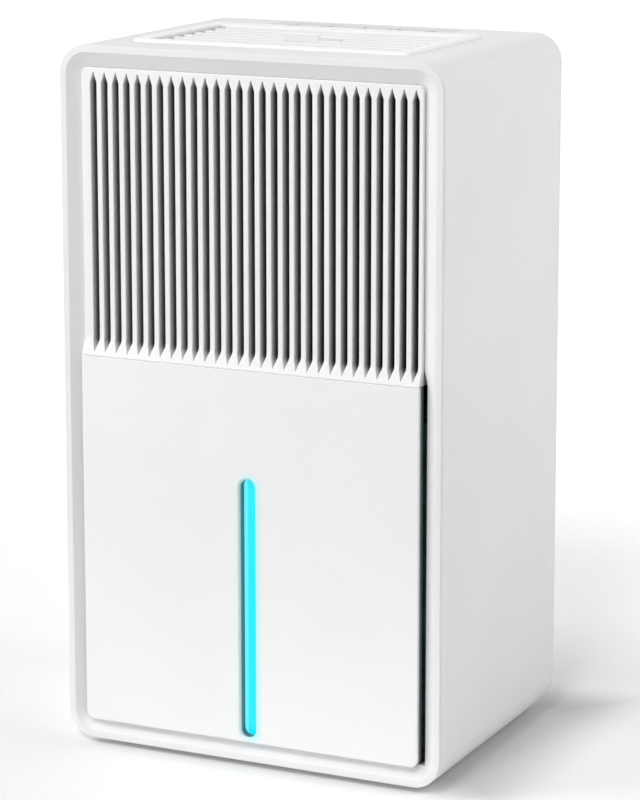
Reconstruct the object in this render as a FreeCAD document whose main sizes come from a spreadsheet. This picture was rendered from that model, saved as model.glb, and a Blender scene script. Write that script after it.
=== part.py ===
import FreeCAD, Part
import os
import re

import Sketcher
from FreeCAD import Placement, Rotation, Vector

# Compact front-tank dehumidifier.
# Frame: +X to the right seen from the front, front face towards -Y, +Z up.
# Origin: middle of the footprint, on the surface that the feet stand on.
# Every length is in millimetres and every angle in degrees.

SIZES = {
    # case as a whole
    "body_width": 230.0,
    "body_depth": 170.6,
    "body_height": 396.0,
    "corner_round": 16.0,
    "wall": 2.2,
    "edge_soft": 0.8,
    "back_soft": 2.0,
    "seam": 0.3,
    "overcut": 1.0,
    # feet
    "foot_height": 3.5,
    "foot_radius": 7.0,
    "foot_inset": 22.0,
    # front frame: flat rim, then a bevel down to the opening
    "rim_face": 4.0,
    "rim_lip": 1.2,
    "bevel_run": 8.4,
    "bevel_drop": 5.1,
    "frame_deep": 9.0,
    "opening_round": 4.0,
    "bay_flare": 2.5,
    # split between the tank front and the intake grille
    "split_height": 223.4,
    "shoulder_rise": 9.0,
    # intake grille
    "grille_set": 2.4,
    "grille_gap": 0.4,
    "grille_round": 3.2,
    "grille_lip": 4.6,
    "grille_rail": 2.0,
    "slot_count": 29,
    "slot_pitch": 6.9,
    "slot_wide": 3.9,
    "slot_shift": 1.5,
    "slot_point": 5.8,
    "slot_head": 2.4,
    "slot_tail": 2.1,
    # dust filter behind the grille
    "filter_thick": 4.0,
    "filter_border": 7.0,
    "filter_bar": 3.0,
    "mesh_thick": 0.8,
    # tank bay
    "bay_deep": 116.0,
    "sheet": 2.4,
    "deck_rise": 2.6,
    "rail_wide": 8.0,
    "rail_offset": 70.0,
    "glide": 0.4,
    # water tank
    "tank_beside": 8.1,
    "tank_start": 8.0,
    "tank_behind": 4.0,
    "tank_headroom": 27.1,
    "tank_wall": 2.0,
    "tank_round": 8.0,
    "tank_clear": 0.5,
    "lid_thick": 2.2,
    "lid_lap": 1.6,
    "drip_radius": 13.0,
    "drip_place": 36.0,
    # tank front
    "tank_proud": 1.8,
    "shell_gap": 2.4,
    "shell_wall": 2.4,
    "shell_deep": 5.4,
    "shell_round": 4.8,
    "lug_radius": 4.0,
    "lug_side": 82.0,
    # level window
    "window_half": 5.7,
    "window_bevel": 1.0,
    "window_low": 1.7,
    "window_tall": 149.7,
    "window_deep": 6.2,
    "window_wall": 1.5,
    "bar_half": 6.4,
    "bar_thick": 2.8,
    # float
    "float_x": 72.0,
    "float_y": 88.0,
    "float_radius": 14.0,
    "float_tall": 14.0,
    "post_radius": 3.0,
    "float_rest": 0.4,
    "magnet_radius": 8.0,
    "magnet_tall": 4.0,
    "sliding_gap": 0.4,
    # cooling stack
    "sink_low": 242.0,
    "cold_start": 22.0,
    "cold_deep": 25.0,
    "cold_half": 50.0,
    "cold_short": 12.0,
    "fin_thick": 1.2,
    "fin_count": 21,
    "sink_base": 4.0,
    "module_side": 40.0,
    "module_thick": 4.0,
    "module_offset": 26.0,
    "screw_rise": 16.0,
    "gasket_border": 8.0,
    "hot_deep": 32.0,
    "hot_half": 60.0,
    "hot_fin_count": 25,
    "sink_screw": 1.5,
    # drip tray under the cold sink
    "tray_half": 60.0,
    "tray_tall": 10.0,
    "tray_wall": 1.6,
    "spout_radius": 6.0,
    "spout_drop": 13.0,
    # fan
    "fan_side": 92.0,
    "fan_thick": 25.0,
    "shroud_tall": 8.0,
    "fan_clear": 5.0,
    "fan_bore": 44.3,
    "fan_place": 73.0,
    "fan_hole": 41.25,
    "fan_screw": 1.9,
    "fan_head": 3.4,
    "hub_radius": 18.0,
    "hub_wall": 1.6,
    "motor_radius": 13.0,
    "motor_tall": 10.0,
    "strut_wide": 5.0,
    "strut_tall": 3.0,
    "shaft_radius": 1.5,
    "shaft_gap": 0.05,
    "blade_count": 7,
    "blade_thick": 1.6,
    "blade_reach": 42.6,
    "blade_pitch": 38.0,
    "blade_chord": 22.0,
    # top outlet
    "outlet_half": 84.0,
    "outlet_start": 25.0,
    "outlet_rear": 11.5,
    "plug_step": 2.0,
    "outlet_rise": 0.6,
    "outlet_step": 3.0,
    "outlet_deep": 18.0,
    "outlet_round": 3.0,
    "mouth_half": 75.5,
    "mouth_start": 29.0,
    "louvre_count": 7,
    "louvre_pitch": 12.5,
    "louvre_space": 0.5,
    "louvre_thick": 1.4,
    "louvre_edge": 0.59,
    "louvre_half": 71.0,
    "louvre_sink": 1.4,
    "louvre_tilt": 8.0,
    "pivot_radius": 1.5,
    "pivot_reach": 78.5,
    "pivot_gap": 0.05,
    # crank pins and the link that joins the louvres
    "crank_share": 0.2776,
    "crank_drop": 4.14,
    "crank_radius": 1.0,
    "crank_arm": 2.0,
    "link_start": 72.6,
    "link_thick": 1.6,
    "link_tall": 4.0,
    "link_end": 2.0,
    "link_loose": 0.3,
    # thumb tab and the finger notch behind it
    "tab_wide": 22.5,
    "tab_tall": 5.0,
    "tab_thick": 2.0,
    "tab_shift": 1.5,
    "tab_round": 1.8,
    "notch_left": 8.0,
    "notch_right": 21.0,
    "notch_front": 3.75,
    "notch_back": 6.0,
    # control strip and keys
    "strip_half": 58.0,
    "strip_space": 11.0,
    "strip_deep": 22.0,
    "strip_thick": 2.2,
    "strip_flange": 1.2,
    "strip_lap": 2.0,
    "key_count": 5,
    "key_pitch": 21.6,
    "key_radius": 3.0,
    "key_inset": 7.5,
    "key_gap": 0.3,
    "key_proud": 0.5,
    "key_flange": 4.2,
    "key_flange_thick": 1.0,
    "key_stem": 1.6,
    "key_stem_drop": 2.0,
    "key_play": 0.75,
    "switch_side": 6.0,
    "switch_tall": 3.4,
    "plunger_radius": 1.7,
    "plunger_tall": 0.8,
    "board_thick": 1.6,
    "post_side": 52.0,
    # rear compartment
    "cover_thick": 2.2,
    "cover_set": 1.2,
    "boss_radius": 5.0,
    "boss_deep": 16.0,
    "boss_inset": 11.0,
    "screw_radius": 1.5,
    "screw_head": 3.0,
    "screw_grip": 12.0,
    "vent_count": 9,
    "vent_pitch": 7.0,
    "vent_wide": 3.0,
    "vent_long": 110.0,
    "vent_low": 262.0,
    "jack_x": 72.0,
    "jack_z": 30.0,
    "jack_body": 7.0,
    "jack_deep": 11.2,
    "jack_nose": 4.6,
    "jack_bore": 3.1,
    "jack_bore_deep": 10.0,
    "jack_pin": 1.0,
    "board_half": 62.0,
    "board_low": 60.0,
    "board_tall": 96.0,
    "board_stand": 12.0,
    "board_post": 3.4,
    "board_margin": 8.0,
    "coil_x": 31.0,
    "coil_rise": 62.4,
    "can_radius": 6.0,
    "can_first": 31.0,
    "can_pitch": 18.6,
    "can_count": 3,
    "can_rise": 24.0,
    "can_fill": 0.48,
    "cooler_x": 9.3,
    "cooler_wide": 37.2,
    "cooler_rise": 48.0,
    "cooler_tall": 11.5,
}

# Places and sizes that follow from the driving sizes, as formulas.
PLACES = {
    "rim_y": "(tank_proud - body_depth) / 2",
    "back_y": "rim_y + body_depth",
    "face_y": "rim_y - tank_proud",
    "floor_z": "foot_height",
    "top_z": "foot_height + body_height",
    "side_x": "body_width / 2",
    "inner_x": "side_x - wall",
    "sleeve_y": "rim_y + rim_lip + seam",
    "frame_x": "side_x - rim_face - bevel_run",
    "frame_low": "floor_z + rim_face + bevel_run",
    "frame_high": "top_z - rim_face - bevel_run",
    "ring_y": "rim_y + frame_deep",
    "bay_x": "frame_x + bay_flare",
    "split_z": "floor_z + split_height",
    "shoulder_z": "split_z + shoulder_rise",
    "grille_x": "frame_x - grille_gap",
    "grille_y": "rim_y + grille_set",
    "grille_top": "frame_high - grille_gap",
    "filter_y": "ring_y + grille_rail + seam",
    "deck_z": "split_z + deck_rise",
    "wall_y": "rim_y + bay_deep",
    "shell_x": "bay_x - shell_gap",
    "shell_low": "frame_low - tank_clear",
    "shell_back": "face_y + shell_deep",
    "tank_low": "frame_low + tank_clear",
    "tank_top": "deck_z - tank_headroom",
    "tank_y": "rim_y + tank_start",
    "tank_side": "bay_x - tank_beside",
    "tank_back": "wall_y - tank_behind",
    "drip_y": "rim_y + drip_place",
    "window_z": "shell_low + window_low",
    "window_top": "window_z + window_tall",
    "window_back": "face_y + window_deep",
    "window_hole": "window_half - window_bevel",
    "bar_low": "tank_low + sliding_gap",
    "post_x": "float_x",
    "post_y": "rim_y + float_y",
    "float_z": "tank_low + tank_wall + float_rest",
    "sink_z": "floor_z + sink_low",
    "cold_y": "rim_y + cold_start",
    "cold_back": "cold_y + cold_deep",
    "hot_y": "cold_back + module_thick",
    "hot_tall": "fan_z - fan_clear - sink_z",
    "cold_tall": "hot_tall - cold_short",
    "hot_back": "hot_y + hot_deep",
    "module_z": "sink_z + cold_tall / 2",
    "tray_top": "deck_z + sheet + tray_tall",
    "fan_y": "rim_y + fan_place",
    "fan_z": "outlet_low - shroud_tall - fan_thick",
    "fan_top": "fan_z + fan_thick",
    "outlet_low": "top_z - outlet_deep",
    "mouth_y": "rim_y + mouth_start",
    "mouth_back": "mouth_y + louvre_count * louvre_pitch",
    "plug_x": "outlet_half - outlet_step",
    "outlet_y": "rim_y + outlet_start",
    "outlet_back": "mouth_back + outlet_rear",
    "plug_y": "outlet_y + plug_step",
    "plug_back": "outlet_back - outlet_step",
    "louvre_z": "top_z - louvre_sink",
    "louvre_chord": "louvre_pitch - louvre_space",
    "crank_back": "louvre_pitch * crank_share",
    "strip_y": "outlet_back + strip_space",
    "strip_back": "strip_y + strip_deep",
    "strip_low": "top_z - strip_thick",
    "flange_low": "strip_low - strip_flange",
    "key_y": "strip_y + key_inset",
    "key_top": "top_z + key_proud",
    "key_low": "flange_low - seam - key_flange_thick - key_stem_drop",
    "plunger_z": "key_low - key_play",
    "board_z": "plunger_z - plunger_tall - switch_tall",
    "cover_back": "back_y - cover_set",
    "cover_y": "cover_back - cover_thick",
    "boss_x": "inner_x - boss_inset",
    "boss_low": "floor_z + wall + boss_inset",
    "boss_high": "top_z - wall - boss_inset",
    "jack_height": "floor_z + jack_z",
    "jack_y": "cover_y - jack_deep",
    "main_y": "wall_y + sheet + board_stand",
    "main_z": "floor_z + board_low",
}

NAME = re.compile(r"[a-z][a-z_]*")
AXES = "xyz"
TURNS = {
    "x": Rotation(Vector(0, 1, 0), 90),
    "y": Rotation(Vector(1, 0, 0), -90),
    "z": Rotation(),
}
SKETCH_TURNS = {
    "x": Rotation(Vector(1, 1, 1), 120),
    "y": Rotation(Vector(1, 0, 0), 90),
    "z": Rotation(),
}
DIRECTIONS = {"x": Vector(1, 0, 0), "y": Vector(0, 1, 0), "z": Vector(0, 0, 1)}

doc = FreeCAD.newDocument("Dehumidifier")
parts = {}


def make_sheet():
    """Put every driving size in the sheet, one aliased cell each."""
    sheet = doc.addObject("Spreadsheet::Sheet", "Sizes")
    for row, (alias, size) in enumerate(SIZES.items(), start=1):
        sheet.set(f"A{row}", alias)
        sheet.set(f"B{row}", str(size))
        sheet.setAlias(f"B{row}", alias)
    doc.recompute()


def formula(text):
    """Replace the names of places and sizes by references to the sheet."""

    def refer(match):
        word = match.group(0)
        if word in PLACES:
            return f"({formula(PLACES[word])})"
        if word in SIZES:
            return f"Sizes.{word}"
        return word

    return NAME.sub(refer, str(text))


def bind(thing, **formulas):
    """Bind properties to formulas; a double underscore stands for a dot."""
    for prop, text in formulas.items():
        thing.setExpression(prop.replace("__", "."), formula(text))


def bind_base(thing, point):
    """Bind the base of a placement to three formulas."""
    for axis, text in zip(AXES, point):
        thing.setExpression(f"Placement.Base.{axis}", formula(text))


def bind_box(box, low, high):
    """Bind a box to its lowest and highest corners."""
    for side, start, end in zip(("Length", "Width", "Height"), low, high):
        box.setExpression(side, formula(f"({end}) - ({start})"))
    bind_base(box, low)


def block(low, high):
    """Box between two corners."""
    box = doc.addObject("Part::Box", "block")
    bind_box(box, low, high)
    return box


def rod(radius, start, length, axis="z"):
    """Cylinder along an axis from the centre of its first end."""
    cylinder = doc.addObject("Part::Cylinder", "rod")
    cylinder.Placement = Placement(Vector(), TURNS[axis])
    bind(cylinder, Radius=radius, Height=length)
    bind_base(cylinder, start)
    return cylinder


def cone(first, second, start, length, axis="z"):
    """Cone between two radii along an axis."""
    taper = doc.addObject("Part::Cone", "taper")
    taper.Placement = Placement(Vector(), TURNS[axis])
    bind(taper, Radius1=first, Radius2=second, Height=length)
    bind_base(taper, start)
    return taper


def polygon_sketch(sketch, points):
    """Closed outline whose corners are pairs of formulas."""
    count = len(points)
    doc.recompute()
    corners = [Vector(*(evaluate(text) for text in point)) for point in points]
    for index in range(count):
        sketch.addGeometry(Part.LineSegment(corners[index], corners[(index + 1) % count]))
    for index in range(count):
        sketch.addConstraint(Sketcher.Constraint("Coincident", index, 2, (index + 1) % count, 1))
    for index, point in enumerate(points):
        for kind, text, at in zip("XY", point, corners[index]):
            number = sketch.addConstraint(
                Sketcher.Constraint(f"Distance{kind}", -1, 1, index, 1, at)
            )
            name = f"corner_{kind.lower()}_{index}"
            sketch.renameConstraint(number, name)
            sketch.setExpression(f"Constraints.{name}", formula(text))


def evaluate(text):
    """Number that a formula gives with the sheet's present sizes."""
    return float(doc.Sizes.evalExpression(formula(text).replace("Sizes.", "")))


def prism(points, axis, start, end):
    """Polygon carried along an axis; its corners lie in the plane of the two other axes."""
    sketch = doc.addObject("Sketcher::SketchObject", "outline")
    sketch.Placement = Placement(Vector(), SKETCH_TURNS[axis])
    sketch.setExpression(f"Placement.Base.{axis}", formula(start))
    polygon_sketch(sketch, points)
    solid = doc.addObject("Part::Extrusion", "prism")
    solid.Base = sketch
    solid.DirMode = "Custom"
    solid.Dir = DIRECTIONS[axis]
    solid.Solid = True
    bind(solid, LengthFwd=f"({end}) - ({start})")
    return solid


def edges_where(shape, wanted):
    """Names of the edges for which a test on the bounding box is true."""
    return [
        f"Edge{index}"
        for index, edge in enumerate(shape.Edges, start=1)
        if wanted(edge.BoundBox)
    ]


def span(box, axis):
    """Lowest and highest value of a bounding box along an axis."""
    return getattr(box, axis.upper() + "Min"), getattr(box, axis.upper() + "Max")


def flat_at(axis, place):
    """Test for edges that lie wholly at one place along an axis."""

    def wanted(box):
        low, high = span(box, axis)
        return abs(low - place) < 1e-4 and abs(high - place) < 1e-4

    return wanted


def along(axis, region=None):
    """Test for straight edges along an axis, all or only those in a region."""

    def wanted(box):
        low, high = span(box, axis)
        across = [span(box, other) for other in AXES if other != axis]
        straight = all(abs(b - a) < 1e-4 for a, b in across) and high - low > 1e-3
        return straight and (region is None or region(box))

    return wanted


def dress(body, kind, base, wanted, **formulas):
    """Add a fillet or a chamfer on chosen edges to a body."""
    doc.recompute()
    feature = body.newObject(f"PartDesign::{kind}", kind.lower())
    feature.Base = (base, edges_where(base.Shape, wanted))
    bind(feature, **formulas)
    body.Tip = feature
    return feature


def rounded(low, high, axis, radius, region=None, soft=None):
    """Block with the edges along one axis rounded, and one end's outline softened.

    soft is a pair: the place of the end along the axis, and the radius there.
    """
    body = doc.addObject("PartDesign::Body", "rounded")
    core = body.newObject("PartDesign::AdditiveBox", "core")
    bind_box(core, low, high)
    last = dress(body, "Fillet", core, along(axis, region), Radius=radius)
    if soft is not None:
        place, size = soft
        dress(body, "Fillet", last, flat_at(axis, evaluate(place)), Radius=size)
    return body


def fuse(*pieces):
    """One solid from several that touch or overlap."""
    joined = doc.addObject("Part::MultiFuse", "joined")
    joined.Shapes = list(pieces)
    joined.Refine = True
    return joined


def group(*pieces):
    """Several separate solids as one object."""
    together = doc.addObject("Part::Compound", "group")
    together.Links = list(pieces)
    return together


def cut(base, *tools):
    """A solid less one or more others."""
    result = doc.addObject("Part::Cut", "trimmed")
    result.Base = base
    result.Tool = tools[0] if len(tools) == 1 else fuse(*tools)
    result.Refine = True
    return result


def common(first, second):
    """What two solids share."""
    result = doc.addObject("Part::MultiCommon", "shared")
    result.Shapes = [first, second]
    return result


def keep(name, piece):
    """Give a finished sub-part its name."""
    piece.Label = name
    parts[name] = piece
    return piece


def repeated_boxes(low, high, count, pitch, axis="X"):
    """Row of equal boxes along an axis of the frame, as one body."""
    body = doc.addObject("PartDesign::Body", "row")
    body.AllowCompound = True
    first = body.newObject("PartDesign::AdditiveBox", "first")
    bind_box(first, low, high)
    doc.recompute()
    add_row(body, first, count, pitch, axis)
    return body


def add_row(body, feature, count, pitch, axis):
    """Repeat a body's feature along one of its axes."""
    line = next(item for item in body.Origin.OriginFeatures if item.Role == f"{axis}_Axis")
    row = body.newObject("PartDesign::LinearPattern", "pattern")
    row.Originals = [feature]
    row.Direction = (line, [""])
    bind(row, Occurrences=count, Length=f"({count} - 1) * {pitch}")
    body.Tip = row
    doc.recompute()


def round_ended(half, low, high, start, end, bevel=None):
    """Upright round-ended bar through Y at x = 0; a bevel narrows it from start to end."""
    last = half if bevel is None else f"{half} - {bevel}"
    length = f"({end}) - ({start})"
    foot = f"({low}) + {half}"
    head = f"({high}) - {half}"
    middle = prism(
        [(f"-({half})", start), (half, start), (last, end), (f"-({last})", end)],
        "z", foot, head,
    )
    ends = [cone(half, last, ("0", start, place), length, "y") for place in (foot, head)]
    if bevel is None:
        ends = [rod(half, ("0", start, place), length, "y") for place in (foot, head)]
    return fuse(middle, *ends)


# ---------------------------------------------------------------- case


def housing_sleeve():
    """Wrap-round case: rounded tube with the outlet and control openings and rear screw bosses."""
    outer = rounded(
        ("-side_x", "sleeve_y", "floor_z"), ("side_x", "back_y", "top_z"),
        "y", "corner_round", soft=("back_y", "back_soft"),
    )
    inner = rounded(
        ("-inner_x", "sleeve_y - overcut", "floor_z + wall"),
        ("inner_x", "back_y + overcut", "top_z - wall"),
        "y", "corner_round - wall",
    )
    outlet = block(
        ("-plug_x - seam", "plug_y - seam", "top_z - wall - overcut"),
        ("plug_x + seam", "plug_back + seam", "top_z + overcut"),
    )
    controls = block(
        ("-strip_half - seam / 2", "strip_y - seam / 2", "top_z - wall - overcut"),
        ("strip_half + seam / 2", "strip_back + seam / 2", "top_z + overcut"),
    )
    bosses = []
    for x, z in rear_corners():
        boss = rod("boss_radius", (x, "cover_y - boss_deep", z), "boss_deep", "y")
        bosses.append(boss)
        bosses.append(rib(x, z))
    holes = [
        rod(
            "screw_radius + pivot_gap", (x, "cover_y - screw_grip - overcut", z),
            "screw_grip + 2 * overcut", "y",
        )
        for x, z in rear_corners()
    ]
    shell = cut(outer, inner, outlet, controls)
    return keep("housing_sleeve", cut(fuse(shell, *bosses), *holes))


def rib(x, z):
    """Web that ties a screw boss to the side wall of the case."""
    thick = "wall / 2"
    if x.startswith("-"):
        return block(
            ("-inner_x - wall / 2", "cover_y - boss_deep", f"{z} - {thick}"),
            (x, "cover_y", f"{z} + {thick}"),
        )
    return block(
        (x, "cover_y - boss_deep", f"{z} - {thick}"),
        ("inner_x + wall / 2", "cover_y", f"{z} + {thick}"),
    )


def rear_corners():
    """Places of the four rear screws."""
    return [(x, z) for x in ("-boss_x", "boss_x") for z in ("boss_low", "boss_high")]


def front_frame():
    """Rim, bevel and ring that close the front of the sleeve; wider beside the tank."""
    flange = rounded(
        ("-side_x", "rim_y", "floor_z"), ("side_x", "rim_y + rim_lip", "top_z"),
        "y", "corner_round", soft=("rim_y", "edge_soft"),
    )
    plug = rounded(
        ("-inner_x + seam", "rim_y + rim_lip / 2", "floor_z + wall + seam"),
        ("inner_x - seam", "ring_y", "top_z - wall - seam"),
        "y", "corner_round - wall - seam",
    )
    opening = rounded(
        ("-frame_x", "rim_y - overcut", "frame_low"),
        ("frame_x", "ring_y + overcut", "frame_high"),
        "y", "opening_round",
    )
    bay = prism(
        [
            ("-bay_x", "frame_low"), ("bay_x", "frame_low"), ("bay_x", "split_z"),
            ("frame_x", "shoulder_z"), ("-frame_x", "shoulder_z"), ("-bay_x", "split_z"),
        ],
        "y", "rim_y - overcut", "ring_y + overcut",
    )
    return keep("front_frame", cut(fuse(flange, plug), opening, frame_bevel(), bay))


def frame_bevel():
    """Cutter that narrows from the rim down to the opening: two tapered prisms and four corner cones."""
    front, back = "rim_y - bevel_drop", "rim_y + bevel_drop"
    wide, narrow = "opening_round + 2 * bevel_run", "opening_round"
    centre_x = "frame_x - opening_round"
    low_z, high_z = "frame_low + opening_round", "frame_high - opening_round"
    corners = [
        cone(wide, narrow, (f"{side} * ({centre_x})", front, z), "2 * bevel_drop", "y")
        for side in (-1, 1) for z in (low_z, high_z)
    ]
    reach_x = "frame_x + 2 * bevel_run"
    reach_low = "frame_low - 2 * bevel_run"
    reach_high = "frame_high + 2 * bevel_run"
    upright = prism(
        [(f"-({reach_x})", front), (reach_x, front), ("frame_x", back), ("-frame_x", back)],
        "z", low_z, high_z,
    )
    across = prism(
        [(front, reach_low), (back, "frame_low"), (back, "frame_high"), (front, reach_high)],
        "x", f"-({centre_x})", centre_x,
    )
    return fuse(upright, across, *corners)


def rear_cover():
    """Back plate inside the sleeve, with vents, an inlet hole and countersunk screw holes."""
    plate = rounded(
        ("-inner_x + seam", "cover_y", "floor_z + wall + seam"),
        ("inner_x - seam", "cover_back", "top_z - wall - seam"),
        "y", "corner_round - wall - seam", soft=("cover_back", "seam"),
    )
    vents = repeated_boxes(
        ("-vent_long / 2", "cover_y - overcut", "floor_z + vent_low"),
        ("vent_long / 2", "cover_back + overcut", "floor_z + vent_low + vent_wide"),
        "vent_count", "vent_pitch", "Z",
    )
    low_vents = repeated_boxes(
        ("-vent_long / 2", "cover_y - overcut", "main_z"),
        ("vent_long / 2", "cover_back + overcut", "main_z + vent_wide"),
        "vent_count", "vent_pitch", "Z",
    )
    inlet = rod(
        "jack_nose + seam", ("jack_x", "cover_y - overcut", "jack_height"), "cover_thick + 2 * overcut", "y",
    )
    holes = [
        rod("screw_radius + seam", (x, "cover_y - overcut", z), "cover_thick + 2 * overcut", "y")
        for x, z in rear_corners()
    ]
    return keep("rear_cover", cut(plate, vents, low_vents, inlet, *holes))


def rear_screws():
    """Four pan-head screws through the rear cover."""
    screws = []
    for x, z in rear_corners():
        head = rod("screw_head", (x, "cover_back", z), "cover_set", "y")
        shank = rod("screw_radius", (x, "cover_back - screw_grip", z), "screw_grip + cover_set / 2", "y")
        slot = block(
            (f"{x} - screw_head - overcut", "cover_back + cover_set / 2", f"{z} - seam"),
            (f"{x} + screw_head + overcut", "cover_back + cover_set + overcut", f"{z} + seam"),
        )
        screws.append(cut(fuse(head, shank), slot))
    return keep("rear_screws", group(*screws))


def feet():
    """Four round rubber feet under the case."""
    places = [
        (x, y)
        for x in ("foot_inset - side_x", "side_x - foot_inset")
        for y in ("rim_y + foot_inset", "back_y - foot_inset")
    ]
    pads = [cone("foot_radius - seam", "foot_radius", (x, y, "0"), "foot_height") for x, y in places]
    return keep("feet", group(*pads))


def deck():
    """Floor of the upper bay, with a hole for the drip spout."""
    plate = block(
        ("-inner_x + seam", "ring_y + grille_rail + seam", "deck_z"),
        ("inner_x - seam", "wall_y + sheet", "deck_z + sheet"),
    )
    hole = rod("spout_radius + seam", ("0", "drip_y", "deck_z - overcut"), "sheet + 2 * overcut")
    return keep("deck", cut(plate, hole))


def bay_wall():
    """Upright wall behind the tank; it carries the deck, the main board and the level sensor."""
    low_round = "corner_round - wall - seam"
    wall = rounded(
        ("-inner_x + seam", "wall_y", "floor_z + wall"), ("inner_x - seam", "wall_y + sheet", "deck_z"),
        "y", low_round, region=lambda box: box.ZMin < evaluate("floor_z + 2 * wall"),
    )
    return keep("bay_wall", wall)


def tank_rails():
    """Two runners that the tank slides on."""
    rails = [
        block(
            (f"{side} * rail_offset - rail_wide / 2", "ring_y + seam", "floor_z + wall"),
            (f"{side} * rail_offset + rail_wide / 2", "wall_y", "tank_low - glide"),
        )
        for side in (-1, 1)
    ]
    return keep("tank_rails", group(*rails))


# ---------------------------------------------------------------- intake


def slot_cutter():
    """Row of upright slots, pointed at both ends, cut through the grille."""
    first_x = "slot_shift - (slot_count - 1) * slot_pitch / 2"
    half = "slot_wide / 2"
    low, high = "split_z + slot_tail", "grille_top - slot_head"
    body = doc.addObject("PartDesign::Body", "slots")
    body.AllowCompound = True
    sketch = body.newObject("Sketcher::SketchObject", "slot")
    plane = next(item for item in body.Origin.OriginFeatures if item.Role == "XZ_Plane")
    sketch.AttachmentSupport = [(plane, "")]
    sketch.MapMode = "FlatFace"
    bind(sketch, AttachmentOffset__Base__z="-(ring_y + overcut)")
    polygon_sketch(
        sketch,
        [
            (first_x, low), (f"{first_x} + {half}", f"{low} + slot_point"),
            (f"{first_x} + {half}", f"{high} - slot_point"), (first_x, high),
            (f"{first_x} - {half}", f"{high} - slot_point"),
            (f"{first_x} - {half}", f"{low} + slot_point"),
        ],
    )
    pad = body.newObject("PartDesign::Pad", "through")
    pad.Profile = sketch
    bind(pad, Length="frame_deep + tank_proud + 2 * overcut")
    doc.recompute()
    add_row(body, pad, "slot_count", "slot_pitch", "X")
    return body


def intake_grille():
    """Slotted panel whose foot slopes forward to the tank front, with a fixing lip behind."""
    profile = prism(
        [
            ("face_y", "split_z"), ("ring_y", "split_z"), ("ring_y", "grille_top"),
            ("grille_y", "grille_top"), ("grille_y", "shoulder_z"),
        ],
        "x", "-grille_x", "grille_x",
    )
    outline = rounded(
        ("-grille_x", "face_y - overcut", "split_z"), ("grille_x", "ring_y + overcut", "grille_top"),
        "y", "grille_round", region=lambda box: box.ZMin > evaluate("split_z + grille_round"),
    )
    lip = block(
        ("-frame_x - grille_lip", "ring_y", "shoulder_z"),
        ("frame_x + grille_lip", "ring_y + grille_rail", "grille_top + grille_lip"),
    )
    gap = block(
        ("-grille_x + seam", "ring_y - overcut", "split_z"),
        ("grille_x - seam", "ring_y + grille_rail + overcut", "grille_top - seam"),
    )
    lamp_pocket = block(
        ("-bar_half - seam", "window_back - seam", "split_z - overcut"),
        ("bar_half + seam", "ring_y + overcut", "split_z + sliding_gap + board_thick"),
    )
    rim = cut(lip, behind_panel(gap))
    return keep("intake_grille", cut(fuse(common(profile, outline), rim), slot_cutter(), lamp_pocket))


def behind_panel(gap):
    """The part of the lip's opening that lies behind the panel."""
    behind = block(
        ("-side_x", "ring_y", "split_z - overcut"), ("side_x", "ring_y + grille_rail + overcut", "top_z"),
    )
    return common(gap, behind)


def filter_frame():
    """Filter holder with two upright bars and one cross bar."""
    low_z = "deck_z + sheet + seam"
    high_z = "grille_top + grille_lip - overcut"
    half = "frame_x + grille_lip - overcut"
    plate = block((f"-({half})", "filter_y", low_z), (half, "filter_y + filter_thick", high_z))
    column_half = f"({half}) / 3"
    middle = f"(({low_z}) + ({high_z})) / 2"
    rows = [
        (f"({low_z}) + filter_border", f"{middle} - filter_bar / 2"),
        (f"{middle} + filter_bar / 2", f"({high_z}) - filter_border"),
    ]
    windows = []
    for column in (-1, 0, 1):
        left = f"({column}) * 2 * {column_half} - {column_half} + filter_bar"
        right = f"({column}) * 2 * {column_half} + {column_half} - filter_bar"
        for start, end in rows:
            windows.append(block(
                (left, "filter_y - overcut", start), (right, "filter_y + filter_thick + overcut", end),
            ))
    side = f"({half}) - filter_bar"
    centre_y = "filter_y + filter_thick / 2"
    mesh_low = (f"-({side})", f"{centre_y} - mesh_thick / 2", f"({low_z}) + filter_bar")
    mesh_high = (side, f"{centre_y} + mesh_thick / 2", f"({high_z}) - filter_bar")
    keep("filter_mesh", block(mesh_low, mesh_high))
    groove = block(mesh_low, mesh_high)
    return keep("filter_frame", cut(plate, groove, *windows))


# ---------------------------------------------------------------- cooling stack


def finned_sink(half, base_start, fin_start, fin_end, tall, count, holes):
    """Base plate with a row of upright fins on one side."""
    body = doc.addObject("PartDesign::Body", "sink")
    plate = body.newObject("PartDesign::AdditiveBox", "plate")
    bind_box(plate, (f"-{half}", base_start, "sink_z"), (half, f"{base_start} + sink_base", f"sink_z + {tall}"))
    doc.recompute()
    fin = body.newObject("PartDesign::AdditiveBox", "fin")
    bind_box(fin, (f"-{half}", fin_start, "sink_z"), (f"-{half} + fin_thick", fin_end, f"sink_z + {tall}"))
    doc.recompute()
    add_row(body, fin, count, f"((2 * {half} - fin_thick) / ({count} - 1))", "X")
    return cut(body, *holes)


def sink_corners():
    """Places of the four screws that clamp the sinks together."""
    reach = "module_offset + module_side / 2 + sink_screw * 2"
    return [(f"{side} * ({reach})", f"module_z + {level} * screw_rise")
            for side in (-1, 1) for level in (-1, 1)]


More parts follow.
